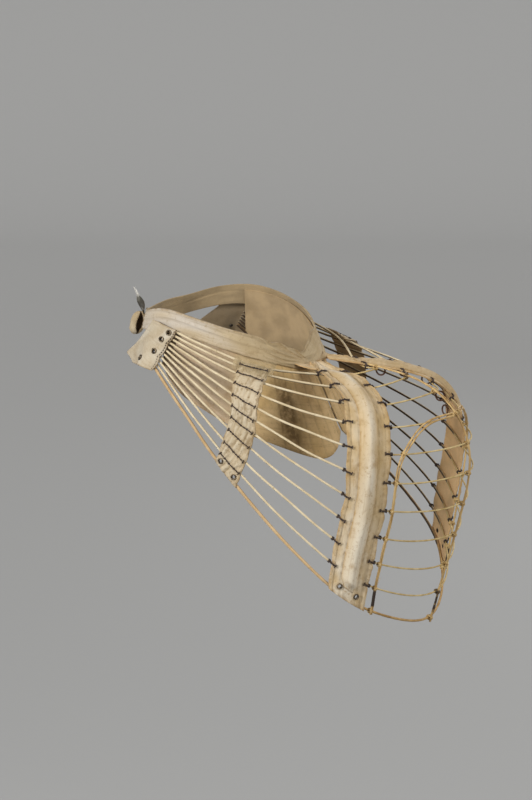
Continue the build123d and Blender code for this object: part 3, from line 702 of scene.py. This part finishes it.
# Cloth on the cage
def band_width(number):
    full = np.clip((number - BAND_TOP) / (BAND_FULL - BAND_TOP), 0, 1)
    return 0.5 + 0.5 * full


def stitch_pull(numbers):
    """1 at each hoop, where thread pulls the cloth in, and 0 between two hoops."""
    near = np.abs(numbers - np.round(numbers))
    return peak(near, 0.13) * (numbers > 0.6) * (numbers < 10.5)


def bands():
    k = np.linspace(BAND_TOP, BAND_BOTTOM, 310)
    v = np.linspace(0, 1, 62)
    rows, w = grid(k, v * BAND_W)
    u = rows * BAND_PITCH
    edge = np.minimum(w, BAND_W - w)
    pull = stitch_pull(k)
    tied = pull[:, None]
    seats = cage_seats(BAND_EYELET, (FRONT + REAR) / 2, CLOTH_TOP)
    for name, side in SIDES:
        seed = 0 if side > 0 else 500
        first = FRONT + 0.014 * pull + 0.010 * ripple(k * BAND_PITCH, seed + 1, 30, 6)
        last = FRONT + band_width(k) - 0.014 * pull + 0.010 * ripple(k * BAND_PITCH, seed + 2, 30, 6)
        p, out, _ = frame_at(k, first[:, None] + (last - first)[:, None] * v)
        crease = waves(u, w, seed + 3, 170, 7, 8) * (0.35 + 0.65 * smooth(v, 0.6, 0.75))
        soft = waves(u, w, seed + 4, 26, 22, 7)
        fine = waves(u, w, seed + 5, 7, 8, 9)
        pucker = waves(u, w, seed + 7, 5, 60, 6) * peak(edge, 6.0)
        hem = 0.45 * (1 - smooth(edge, 3.6, BAND_HEM)) - 0.5 * peak(edge - BAND_HEM, 0.8)
        tuck = -0.7 * tied * peak(edge, 7.0)
        curl = 0.9 * (1 - smooth(edge, 0, 5)) * (1 - tied) * (0.5 + 0.5 * ripple(u, seed + 6, 30, 4))
        gather = (fan_folds(u + 4, w - BAND_W / 2, BAND_SLOPES, 1.6) - 0.3) * (1 - smooth(rows, 1.0, 2.4))
        relief = 0.38 * crease + 0.3 * soft + 0.16 * fine + 0.25 * pucker + hem + tuck + curl + 1.1 * gather
        relief = np.clip(relief, -0.7, 1.8) * clear_of(p + out * CLOTH_TOP, seats)
        outer = raised(p, out, CLOTH_TOP + relief)
        inner = raised(p, out, CLOTH_LIFT + 0.6 * np.clip(relief, -0.1, 1.0))
        bleach = 0.55 * peak(v - 0.40, 0.22) + 0.15 * soft + 0.35 * smooth(rows, 4.0, 9.0)
        # The right band, on the far side, gets less of the pale tint: painted shade
        bleach = bleach if side > 0 else 0.4 * bleach
        foot = peak(np.abs(w - BAND_W / 2) - CASING_W / 2 - 2.5, 1.3) * (rows > 1.0)
        seam = peak(edge - BAND_HEM, 1.0)
        # Painted shade in the crease valleys and along the foot of the casing, with stains along the hem seam
        dirt = (0.5 * foot + 0.35 * seam) * (0.6 + 0.5 * fine) + 0.4 * smooth(-crease, 0.5, 1.5)
        piece = shell("side_band_" + name, "band", (outer, inner), side, seats, tint=bleach, flip=side > 0,
                      dirt=dirt)
        casing(name, side, seed)


def casing(name, side, seed):
    """Soft ridge down the middle of a band, over its flat steel."""
    k = np.linspace(CASING_TOP, CASING_BOTTOM, 250)
    v = np.linspace(-1, 1, 43)
    u, w = grid(k * BAND_PITCH, v * CASING_SPREAD)
    centre = FRONT + 0.5 * band_width(k)
    half = np.array([shifted(q, c, CASING_W / 2 + 1.5) - c for q, c in zip(k, centre)])
    ends = smooth(k, CASING_TOP, 1.45) * (1 - smooth(k, 10.2, CASING_BOTTOM))
    p, out, _ = frame_at(k, centre[:, None] + (half * (0.65 + 0.35 * ends))[:, None] * v)
    full = (0.10 + 0.90 * ends) * (0.80 + 0.20 * smooth(k, 2.5, 6.0))
    arch = np.cos(v * math.pi / 2) ** 1.25
    lump = 0.24 * waves(u, w, seed + 8, 24, 13, 7) + 0.10 * waves(u, w, seed + 9, 150, 6, 6)
    lump = lump + 0.10 * waves(u, w, seed + 10, 5, 5, 9)
    rise = (CASING_H + 0.4) * arch * full[:, None] + lump * (0.25 + 0.75 * arch)
    outer = raised(p, out, CLOTH_TOP + 0.55 + rise)
    inner = p + out * (CLOTH_TOP - 0.9)
    top = np.clip(1.05 - np.abs(v - 0.05), 0, 1) * (0.58 + 0.3 * waves(u, w, seed + 11, 45, 20, 6))
    # The right casing gets far less of the pale top and is darkened in the shell below: painted shade on the
    # far side
    top = top + 0.45 * smooth(k, 4.0, 9.0)[:, None] if side > 0 else 0.15 * top
    piece = shell("band_casing_" + name, "band", (outer, inner), side, tint=top, flip=side > 0, edge=2.5,
                  back=0.0, dirt=0.0 if side > 0 else 0.3)


def patches():
    k = np.linspace(PATCH_TOP, PATCH_BOTTOM, 230)
    v = np.linspace(0, 1, 52)
    u, w = grid(k * PATCH_PITCH, v * PATCH_L)
    edge = np.minimum(w, PATCH_L - w)
    pull = stitch_pull(k)
    loose = 1 - pull[:, None]
    seats = cage_seats(PATCH_EYELET, FAN, CLOTH_TOP)
    front, rear = (np.array([shifted(q, FAN, d * PATCH_L) for q in k]) for d in (-0.5, 0.5))
    step = (rear - front) / PATCH_L
    for name, side in SIDES:
        seed = 20 if side > 0 else 520
        cut = [step * (1.2 * pull + 0.9 * ripple(k * PATCH_PITCH, seed + i, 14, 7)) for i in (0, 1)]
        a, b = front + cut[0], rear - cut[1]
        p, out, _ = frame_at(k, a[:, None] + (b - a)[:, None] * v)
        puff = 0.7 * loose * smooth(edge, 0, 5)
        pleat = 0.45 * waves(u, w + 0.25 * u, seed + 2, 50, 4.2, 8) * (0.4 + 0.6 * loose)
        fray = 0.22 * waves(u, w, seed + 4, 5, 5, 9)
        relief = puff + pleat + fray + 0.3 * waves(u, w, seed + 3, 18, 14, 6) - 0.35
        relief = np.clip(relief, -0.7, 1.3) * clear_of(p + out * CLOTH_TOP, seats)
        outer = raised(p, out, CLOTH_TOP + relief)
        inner = raised(p, out, CLOTH_LIFT + 0.5 * np.clip(relief, -0.1, 1.0))
        # Painted shade in the pleat valleys
        piece = shell("hip_patch_" + name, "patch", (outer, inner), side, seats,
                      tint=0.5 * puff + 0.4 * pleat, flip=side > 0, edge=3.0,
                      dirt=0.6 * smooth(-pleat, 0.1, 0.7))


def net():
    """Scrap of net over the top of the left patch, as crossing strands."""
    mesh = Mesh()
    lift = CLOTH_TOP + 0.9
    x = np.linspace(-NET_L / 2, NET_L / 2, 40)
    for i, k in enumerate(np.linspace(NET_TOP, NET_BOTTOM, 17)):
        p, out, _ = frame_at([k], [np.array([shifted(k, FAN, d) for d in x])])
        wave = ripple(x + NET_L / 2, 900 + i, 15, 4)
        mesh.tube(raised(p[0], out[0], lift + 0.25 * wave), NET_R, 5)
    k = np.linspace(NET_TOP, NET_BOTTOM, 30)
    for i, d in enumerate(np.linspace(-NET_L / 2, NET_L / 2, 24)):
        p, out, _ = frame_at(k, np.array([[shifted(q, FAN, d)] for q in k]))
        wave = ripple(np.linspace(0, NET_H, 30), 950 + i, 12, 4)
        mesh.tube(raised(p[:, 0], out[:, 0], lift + 0.25 * wave), NET_R, 5)
    mesh.make("net_overlay", "net")


# Thread
def tick(mesh, at, side, along, rng, size, r):
    """Short knot across a stitch."""
    lean = along * rng.uniform(-0.5, 0.5)
    a, b = at - side * size + lean, at + side * size - lean
    t = np.linspace(0, 1, 5)[:, None]
    mesh.tube(a + (b - a) * t, r, 6)


def twisted(mesh, path, normal, r, turns):
    """Two strands twisted round one another along a path."""
    across = unit(np.cross(path[-1] - path[0], normal))
    angle = np.linspace(0, 2 * math.pi * turns, len(path))[:, None]
    for half in (0, math.pi):
        around = across * np.cos(angle + half) + normal * np.sin(angle + half)
        mesh.tube(path + around * 0.6 * r, r, 7)
    return across


def edge_stitch(mesh, number, station, inward, side):
    """Bar of thread over the edge of a band, wound round the hoop outside it and knotted on the cloth."""
    rng = np.random.default_rng(1000 + number + 50 * inward + 500 * side)
    spots = [shifted(number, station, inward * d) for d in (0.8 - STITCH_OUT, -0.4, 1.4, 5.0, STITCH_IN)]
    p, out = (g[0] * (side, 1, 1) for g in frame_at([number], [np.array(spots)])[:2])
    q = raised(p, out, [HOOP_R + 0.8, CLOTH_TOP * 0.9, CLOTH_TOP + 1.0, CLOTH_TOP + 1.25, CLOTH_TOP + 0.9])
    path = spline(q, 0.75)(np.linspace(0, 4, 26))
    across = twisted(mesh, path, out[3], BAR_R, 1.5 + rng.uniform(-0.2, 0.2))
    direction = unit(q[-1] - q[0])
    tick(mesh, q[-1] + out[-1] * 0.3, across, direction, rng, 1.9, BAR_R)
    tick(mesh, q[0] + out[0] * 0.5, across, direction, rng, 1.8, 0.7)
    hoop_dir = unit(p[1] - p[0])
    x = unit(np.cross(hoop_dir, out[0]))
    y = np.cross(hoop_dir, x)
    a = circle(14)
    for i in (-1, 0, 1):
        ring = p[0] + hoop_dir * (i * WIND_STEP + rng.uniform(-0.15, 0.15))
        mesh.tube(ring + (x * np.cos(a) + y * np.sin(a)) * 1.7, WIND_R, 6, closed=True)


def patch_stitch(mesh, number, side):
    """Running row of thread across the patch over one hoop."""
    rng = np.random.default_rng(1500 + 10 * number + 300 * side)
    spots = np.array([shifted(number, FAN, d) for d in np.linspace(-ROW_HALF, ROW_HALF, 5)])
    p, out = (g[0] * (side, 1, 1) for g in frame_at([number], [spots])[:2])
    lift = CLOTH_TOP + (1.5 if side > 0 and number < 3 else 0.45)
    q = raised(p, out, lift + rng.uniform(-0.15, 0.35, 5))
    q = raised(q, unit(np.cross(q[-1] - q[0], out[2])), rng.uniform(-0.6, 0.6, 5))
    across = twisted(mesh, spline(q, 0.75)(np.linspace(0, 4, 40)), out[2], ROW_R, 4)
    direction = unit(q[-1] - q[0])
    for i in range(5):
        tick(mesh, q[i] + out[i] * 0.3, across, direction, rng, 2.0 if i in (0, 4) else 1.0, 0.6)


def stitches():
    for name, side in SIDES:
        for label, inward in (("front", 1), ("rear", -1)):
            mesh = Mesh()
            for number in range(1, HOOPS):
                station = FRONT if inward > 0 else FRONT + band_width(number)
                edge_stitch(mesh, number, station, inward, side)
            mesh.make("%s_edge_stitches_%s" % (label, name), "thread")
        mesh = Mesh()
        for number in range(2, HOOPS):
            patch_stitch(mesh, number, side)
        mesh.make("patch_stitches_" + name, "thread")


# Waistband, yoke, tabs and gussets
def waistband():
    t = np.linspace(BELT_END, 360 + BELT_END - BELT_GAP, 520)
    v = np.linspace(-0.5, 0.5, 36)
    degrees, w = grid(t, v * BELT_W)
    u = degrees * BELT_DEGREE
    high = 1.2 * ripple(t * BELT_DEGREE, 60, 70, 5)
    high = high + sum(drop * peak(t - place, spread) for place, spread, drop in EDGE_DIPS)
    low = 1.2 * ripple(t * BELT_DEGREE, 61, 60, 5)
    below = w + np.where(v < 0, high[:, None], low[:, None]) * np.abs(v) * 2
    wrinkle = waves(u, w, 62, 110, 5.5, 9)
    ahead = FOLD_ANGLE * BELT_DEGREE - u
    pulled = smooth(ahead, -14, 0) * (1 - smooth(ahead, 40, 95))
    rays = fan_folds(ahead, BELT_W / 3 - w + 1.2 * ripple(u, 66, 40, 4), FOLD_SLOPES, 1.7)
    crumple = pulled * (rays - 0.35)
    fold = 0.9 * peak(w + 2.5 + 1.5 * ripple(u, 63, 90, 4), 1.6)
    slack = waves(u, w, 64, 45, 20, 6)
    relief = 0.55 * wrinkle + fold + 0.55 * slack + 3.4 * crumple
    edge = BELT_W / 2 - np.abs(w)
    hem = 0.45 * (1 - smooth(edge, 2.0, BELT_HEM)) - 0.4 * peak(edge - BELT_HEM, 0.6)
    outer = body(degrees, below, BELT_T + np.maximum(0.8 * relief + hem, -0.7))
    inner = body(degrees, below, np.clip(0.4 * relief, 0.0, 0.8))
    tint = (0.70 + 0.3 * waves(u, w, 65, 80, 15, 5)) * (1 - 0.95 * smooth(degrees, 0, 55))
    # Painted shade in the valleys of the wrinkles, crumples and slack
    valley = smooth(-0.6 * wrinkle - 0.8 * crumple - 0.3 * slack, 0.3, 1.2)
    piece = shell("waistband", "tape", (outer, inner), tint=tint, edge=3.0, dirt=0.6 * valley)


def yokes():
    t = np.linspace(YOKE_START, 90 - math.degrees(YOKE_SEAM / WAIST_X), 170)
    v = np.linspace(0, 1, 96)
    degrees, _ = grid(t, v)
    arc = degrees * YOKE_DEGREE
    rim, lower = body(t, 0 * t, 0 * t), body(t, 0 * t + BELT_W, 0 * t)
    slant = (lower[:, 1] - rim[:, 1]) / BELT_W
    below = (rim[:, 2] - (YOKE_LOW - YOKE_SLOPE * rim[:, 1])) / (1 - YOKE_SLOPE * slant)
    below = below - YOKE_FRONT_RISE * np.clip(1 - (t - YOKE_START) / YOKE_ROUND, 0, 1) ** 2
    below = below - YOKE_BACK_RISE * np.clip((t - YOKE_TURN) / YOKE_ROUND, 0, 1) ** 2
    channel = (smooth(degrees, 46, 50) * (0.5 + 0.5 * np.cos(2 * math.pi * arc / YOKE_CHANNEL))) ** 16
    front = 0.7 * (1 - smooth(degrees, 18, 52))
    # Painted shadow cast across the yoke, in a soft vertical band
    shadow = peak(degrees - YOKE_SHADOW, 6.0) * smooth(v, 0.1, 0.5) * (1 - 0.6 * smooth(v, 0.8, 1.0))
    for name, side in SIDES:
        seed = 80 if side > 0 else 580
        bottom = below + ripple(t * YOKE_HEM_DEGREE, seed, 60, 5)
        h = -BELT_W / 4 + (bottom + BELT_W / 4)[:, None] * v
        soft = 0.5 * waves(arc, h, seed + 1, 50, 70, 6) + 0.25 * waves(arc, h, seed + 2, 14, 40, 6)
        edge = (1 - v) * bottom[:, None]
        hem = 0.5 * (1 - smooth(edge, 4.5, YOKE_HEM)) - 0.4 * peak(edge - YOKE_HEM, 0.7)
        relief = np.clip(soft - 0.8 * channel + hem, -1.0, 0.35) * smooth(h, 4, 22) - 0.2
        outer = body(degrees, h, -GAP + relief)
        inner = body(degrees, h, -GAP - YOKE_T + np.minimum(0.5 * relief, 0.3))
        piece = shell("hip_yoke_" + name, "yoke", (outer, inner), side, tint=front, flip=side < 0,
                      dirt=0.28 * channel + 1.1 * shadow)


def gussets():
    q = np.linspace(0, 1, 60)
    v = np.linspace(0, 1, 40)
    u, w = grid(q * GUSSET_L, v * GUSSET_W)
    over = v[:, None]
    for name, side in SIDES:
        seed = 100 if side > 0 else 600
        sag = (0.8 * waves(u, w, seed, 30, 12, 6) - 1.2) * np.sin(math.pi * v)
        faces = []
        for h, lift in ((0, CLOTH_TOP), (CLOTH_T, CLOTH_LIFT)):
            belt = body(GUSSET_START - GUSSET_SWEEP * q, BELT_W / 4 + h + 0 * q, BELT_T + GAP + 0 * q)
            numbers = BAND_TOP + GUSSET_DEPTH * q
            cage = np.array([lifted(k, shifted(k, FRONT, -GAP), lift) for k in numbers])
            flat = belt[:, None] * (1 - over) + cage[:, None] * over
            faces.append(raised(flat, np.array([0, 0, 1.0]), sag))
        piece = shell("back_gusset_" + name, "band", faces, side, flip=side > 0, edge=1.5)


def tab_surface():
    """Function from shares along and down the tab to points on its inner face."""
    rear = [lifted(n, shifted(n, TAB, TAB_OVER), CLOTH_LIFT) for n in np.linspace(0.5, TAB_FOOT, TAB_ROWS)]
    ends = [lifted(n, TAB_END, CLOTH_LIFT) for n in np.linspace(0.5, TAB_END_FOOT, TAB_ROWS)]
    lines = [np.array(rear), np.array(ends)]
    for degrees, top, bottom, off in TAB_LINES:
        h = np.linspace(top, bottom, TAB_ROWS) * BELT_W
        lines.append(body(degrees + 0 * h, h, BELT_T + 2 * GAP + off * TAB_OFF + 0 * h))
    across = [spline([line[i] for line in lines], 0.75) for i in range(TAB_ROWS)]

    def at(share, row):
        x = row * (TAB_ROWS - 1)
        i = min(int(x), TAB_ROWS - 2)
        st = np.asarray(share) * (len(lines) - 1)
        return across[i](st) * (1 - x + i) + across[i + 1](st) * (x - i)

    return at


def tabs():
    at = tab_surface()
    share = np.linspace(0, 1, 92)
    r = np.linspace(0, 1, 90)
    u, w = grid(share * TAB_L, r * TAB_H)
    edge = np.minimum(np.minimum(u, TAB_L - u), np.minimum(w, TAB_H - w))
    start = 0.03 - 0.035 * np.abs(np.sin(3 * math.pi * r)) ** 0.7
    stop = spline([(x, 0, 0) for x in TAB_STOP_S], 0)(r * (TAB_ROWS - 1))[:, 0]
    p = np.stack([at(a + (b - a) * share, row) for a, b, row in zip(start, stop, r)], 1)
    out = unit(np.cross(np.gradient(p, axis=0), np.gradient(p, axis=1)))
    seats = []
    for a, b in TAB_EYELET_S:
        forward = at(a + STEP, b) - at(a - STEP, b)
        normal = unit(np.cross(forward, at(a, b + STEP) - at(a, b - STEP)))
        seats.append((at(a, b) + normal * TAB_T, normal))
    for name, side in SIDES:
        seed = 120 if side > 0 else 620
        relief = 0.45 * waves(u, w, seed, 36, 26, 6) + 0.16 * waves(u, w, seed + 1, 7, 7, 8)
        relief = relief - 0.5 * peak(edge - TAB_HEM, 0.7) - 0.5 * (1 - smooth(edge, 0, 1.6))
        relief = np.clip(relief, -0.9, 0.6) * clear_of(p + out * TAB_T, seats)
        outer = raised(p, out, TAB_T + relief)
        inner = raised(p, out, np.clip(0.3 * relief, 0, 0.3))
        tint = 0.35 + 0.35 * waves(u, w, seed + 3, 40, 24, 6)
        shell("front_tab_" + name, "tab", (outer, inner), side, seats, tint=tint, flip=side > 0, edge=2.5)
        mesh = Mesh()
        line = (p + out * (TAB_T + 0.25))[3] * (side, 1, 1)
        for j in range(3, len(r) - 6, 5):
            mesh.tube(line[j:j + 4], SEAM_R, 6)
        mesh.make("tab_seam_" + name, "thread", stands_for=False)


# Closure
def belt_axes(angle):
    """Directions along the belt and out from it."""
    here, ahead, behind = (body(np.array(angle + d), 0.0, np.array(0.0)) for d in (0.0, 1.0, -1.0))
    return unit(ahead - behind), body(np.array(angle), 0.0, np.array(1.0)) - here


def belt_loop():
    """Rolled cloth at the front, slit along its length and drawn in at both ends."""
    angle = BELT_END - BELT_GAP
    slit = math.degrees(math.asin(LOOP_SLOT / 2 / LOOP_R))
    h = np.linspace(0.75, -0.25, 44) * LOOP_H
    far = np.abs(h / LOOP_H - 0.25) * 2
    gape = slit * (0.45 + 0.85 * (1 - far**2) + 0.1 * ripple(h, 143, 12, 4))
    share = np.linspace(0, 1, 64)[:, None]
    turns = np.radians(LOOP_TURN + gape + (360 - 2 * gape) * share)
    centre = body(angle + 0 * h, h, BELT_T + GAP + LOOP_R + 0 * h)
    tangent, out = belt_axes(angle)
    direction = tangent * np.cos(turns)[..., None] + out * np.sin(turns)[..., None]
    u, w = turns * LOOP_R, h + 0 * turns
    dent = np.minimum(0.6 * waves(u, w, 140, 14, 12, 7), 0.15) + 0.14 * waves(u, w, 141, 4, 4, 8)
    drawn = LOOP_R * (1 - 0.62 * far**5 - 0.05 * far**2) + dent
    faces = [raised(centre, direction, drawn - depth) for depth in (0.1, LOOP_WALL)]
    lip = 1 - smooth(np.minimum(share, 1 - share), 0.0, 0.06)
    tint = 0.3 + 0.3 * waves(u, w, 142, 20, 20, 6)
    # Painted shade along the lips of the slit
    piece = shell("belt_loop", "loop", faces, tint=tint, edge=2.5, dirt=0.5 * lip)


def belt_hook():
    """Leaf of metal that stands up from the tape and turns as it rises."""
    share = np.linspace(0, 1, 60)
    v = np.linspace(-1, 1, 15)
    leaf = spline([(x, 0, 0) for x in LEAF_S], 0)(share * (len(LEAF_S) - 1))[:, 0] * HOOK_W / 2
    tangent, flat = belt_axes(HOOK_ANGLE)
    base = body(HOOK_ANGLE + 0 * share, -share * HOOK_L - BELT_W / 5, 0 * share)
    middle = raised(base, flat, BELT_T + GAP + HOOK_BOW * share**1.5 + share * HOOK_L * FLARE_SIDE)
    twist = np.radians(HOOK_TWIST * np.sin(math.pi / 2 * share))[:, None]
    across = tangent * np.cos(twist) + flat * np.sin(twist)
    normal = (flat * np.cos(twist) - tangent * np.sin(twist))[:, None]
    inner = raised(middle[:, None], across[:, None], leaf[:, None] * v) + normal * (0.7 * v**2)[:, None]
    outer = raised(inner, normal, HOOK_T - 0.3 * np.abs(v))
    # The tint paints a highlight on the tip
    shell("belt_hook", "hook", (outer, inner), tint=smooth(share, 0.60, 0.78)[:, None], edge=1.0, back=0.0)


hoops()
centre_rib()
arch_ribs()
bands()
patches()
net()
stitches()
waistband()
yokes()
gussets()
tabs()
belt_loop()
belt_hook()
# Solids that stay in sight
for word, kind in (("eyelets", "eyelet"), ("lacing", "ring"), ("band_bone", "steel")):
    for name, node in nodes.items():
        if word in name:
            node.data.materials.clear()
            node.data.materials.append(MAT[kind])

# Studio, in metres: the camera's directions, then the level one that it looks along
back, right = np.array([0.8842, 0.4217, 0.2011]), np.array([-0.4305, 0.9026, 0.0])
up = np.cross(back, right)
ahead = np.array([-0.9026, -0.4305, 0.0])
LENS, SENSOR, CLIP_END = 148.5, 36.0, 50.0
AWAY, TO_RIGHT, DOWN = 3.828, 0.04408, 0.0812
FLOOR_Z, SWEEP_START, SWEEP_R, SWEEP_TOP, SWEEP_REACH = -0.62, 4.6, 0.9, 4.5, 12.0
PAPER_NEAR, PAPER_FAR, PAPER_GLOW = 0.6, 4.9, 0.15
LAMP_TARGET = np.array([0.0, 0.12, -0.12])


def paper():
    """Grey that grows paler with distance, with a little light of its own for the eye alone."""
    n = Nodes("pale_paper")
    distance = n.new("ShaderNodeVectorMath", operation="LENGTH")
    n.put(distance.inputs[0], n.coords)
    far = n.ramp(distance.outputs["Value"], PAPER_NEAR, PAPER_FAR)
    seen = n.new("ShaderNodeLightPath").outputs
    shown = n.math("ADD", seen["Is Glossy Ray"], seen["Is Transmission Ray"])
    shown = n.math("ADD", seen["Is Camera Ray"], shown)
    n.shader.inputs["Emission Color"].default_value = (1.0, 1.0, 0.985, 1)
    n.put(n.shader.inputs["Emission Strength"], n.math("MULTIPLY", shown, PAPER_GLOW))
    return n.finish(n.mix(far, (0.23, 0.23, 0.227), (0.46, 0.46, 0.456)), 0.9)


def sweep():
    bend = [(SWEEP_START + SWEEP_R * math.sin(a), FLOOR_Z + SWEEP_R - SWEEP_R * math.cos(a))
            for a in np.linspace(0, math.pi / 2, 24)]
    profile = [(-SWEEP_REACH, FLOOR_Z), *bend, (SWEEP_START + SWEEP_R, SWEEP_TOP)]
    points = [ahead * d + right * s + (0, 0, z) for d, z in profile for s in (-SWEEP_REACH, SWEEP_REACH)]
    stage = bpy.data.meshes.new("sweep")
    quads = [(2 * i, 2 * i + 1, 2 * i + 3, 2 * i + 2) for i in range(len(profile) - 1)]
    stage.from_pydata([tuple(map(float, p)) for p in points], [], quads)
    stage.polygons.foreach_set("use_smooth", [True] * len(stage.polygons))
    stage.materials.append(paper())
    floor = bpy.data.objects.new("floor", stage)
    bpy.context.collection.objects.link(floor)


def lamp(name, offset, size, power):
    data = bpy.data.lights.new(name, "AREA")
    data.energy = power
    data.size = size
    o = bpy.data.objects.new(name, data)
    o.location = LAMP_TARGET + right * offset[0] + up * offset[1] + back * offset[2]
    o.rotation_euler = (Vector(LAMP_TARGET) - o.location).to_track_quat("-Z", "Y").to_euler()
    bpy.context.collection.objects.link(o)


sweep()
camera = bpy.data.objects.new("camera", bpy.data.cameras.new("camera"))
camera.data.lens = LENS
camera.data.sensor_width = SENSOR
camera.data.clip_end = CLIP_END
turn = Matrix((right, up, back)).transposed().to_4x4()
camera.matrix_world = Matrix.Translation(back * AWAY + right * TO_RIGHT - up * DOWN) @ turn
bpy.context.collection.objects.link(camera)
bpy.context.scene.camera = camera
lamp("key", (-1.8, 0.75, 1.85), 0.6, 54)
lamp("fill", (1.8, 0.6, 1.6), 1.6, 24)
lamp("rim", (1.2, 1.3, -1.4), 1.2, 14)
world = bpy.data.worlds.new("world")
world.use_nodes = True
light = world.node_tree.nodes["Background"].inputs
light[0].default_value = (0.85, 0.84, 0.82, 1)
light[1].default_value = 0.42
bpy.context.scene.world = world
bpy.context.scene.view_settings.view_transform = "Standard"
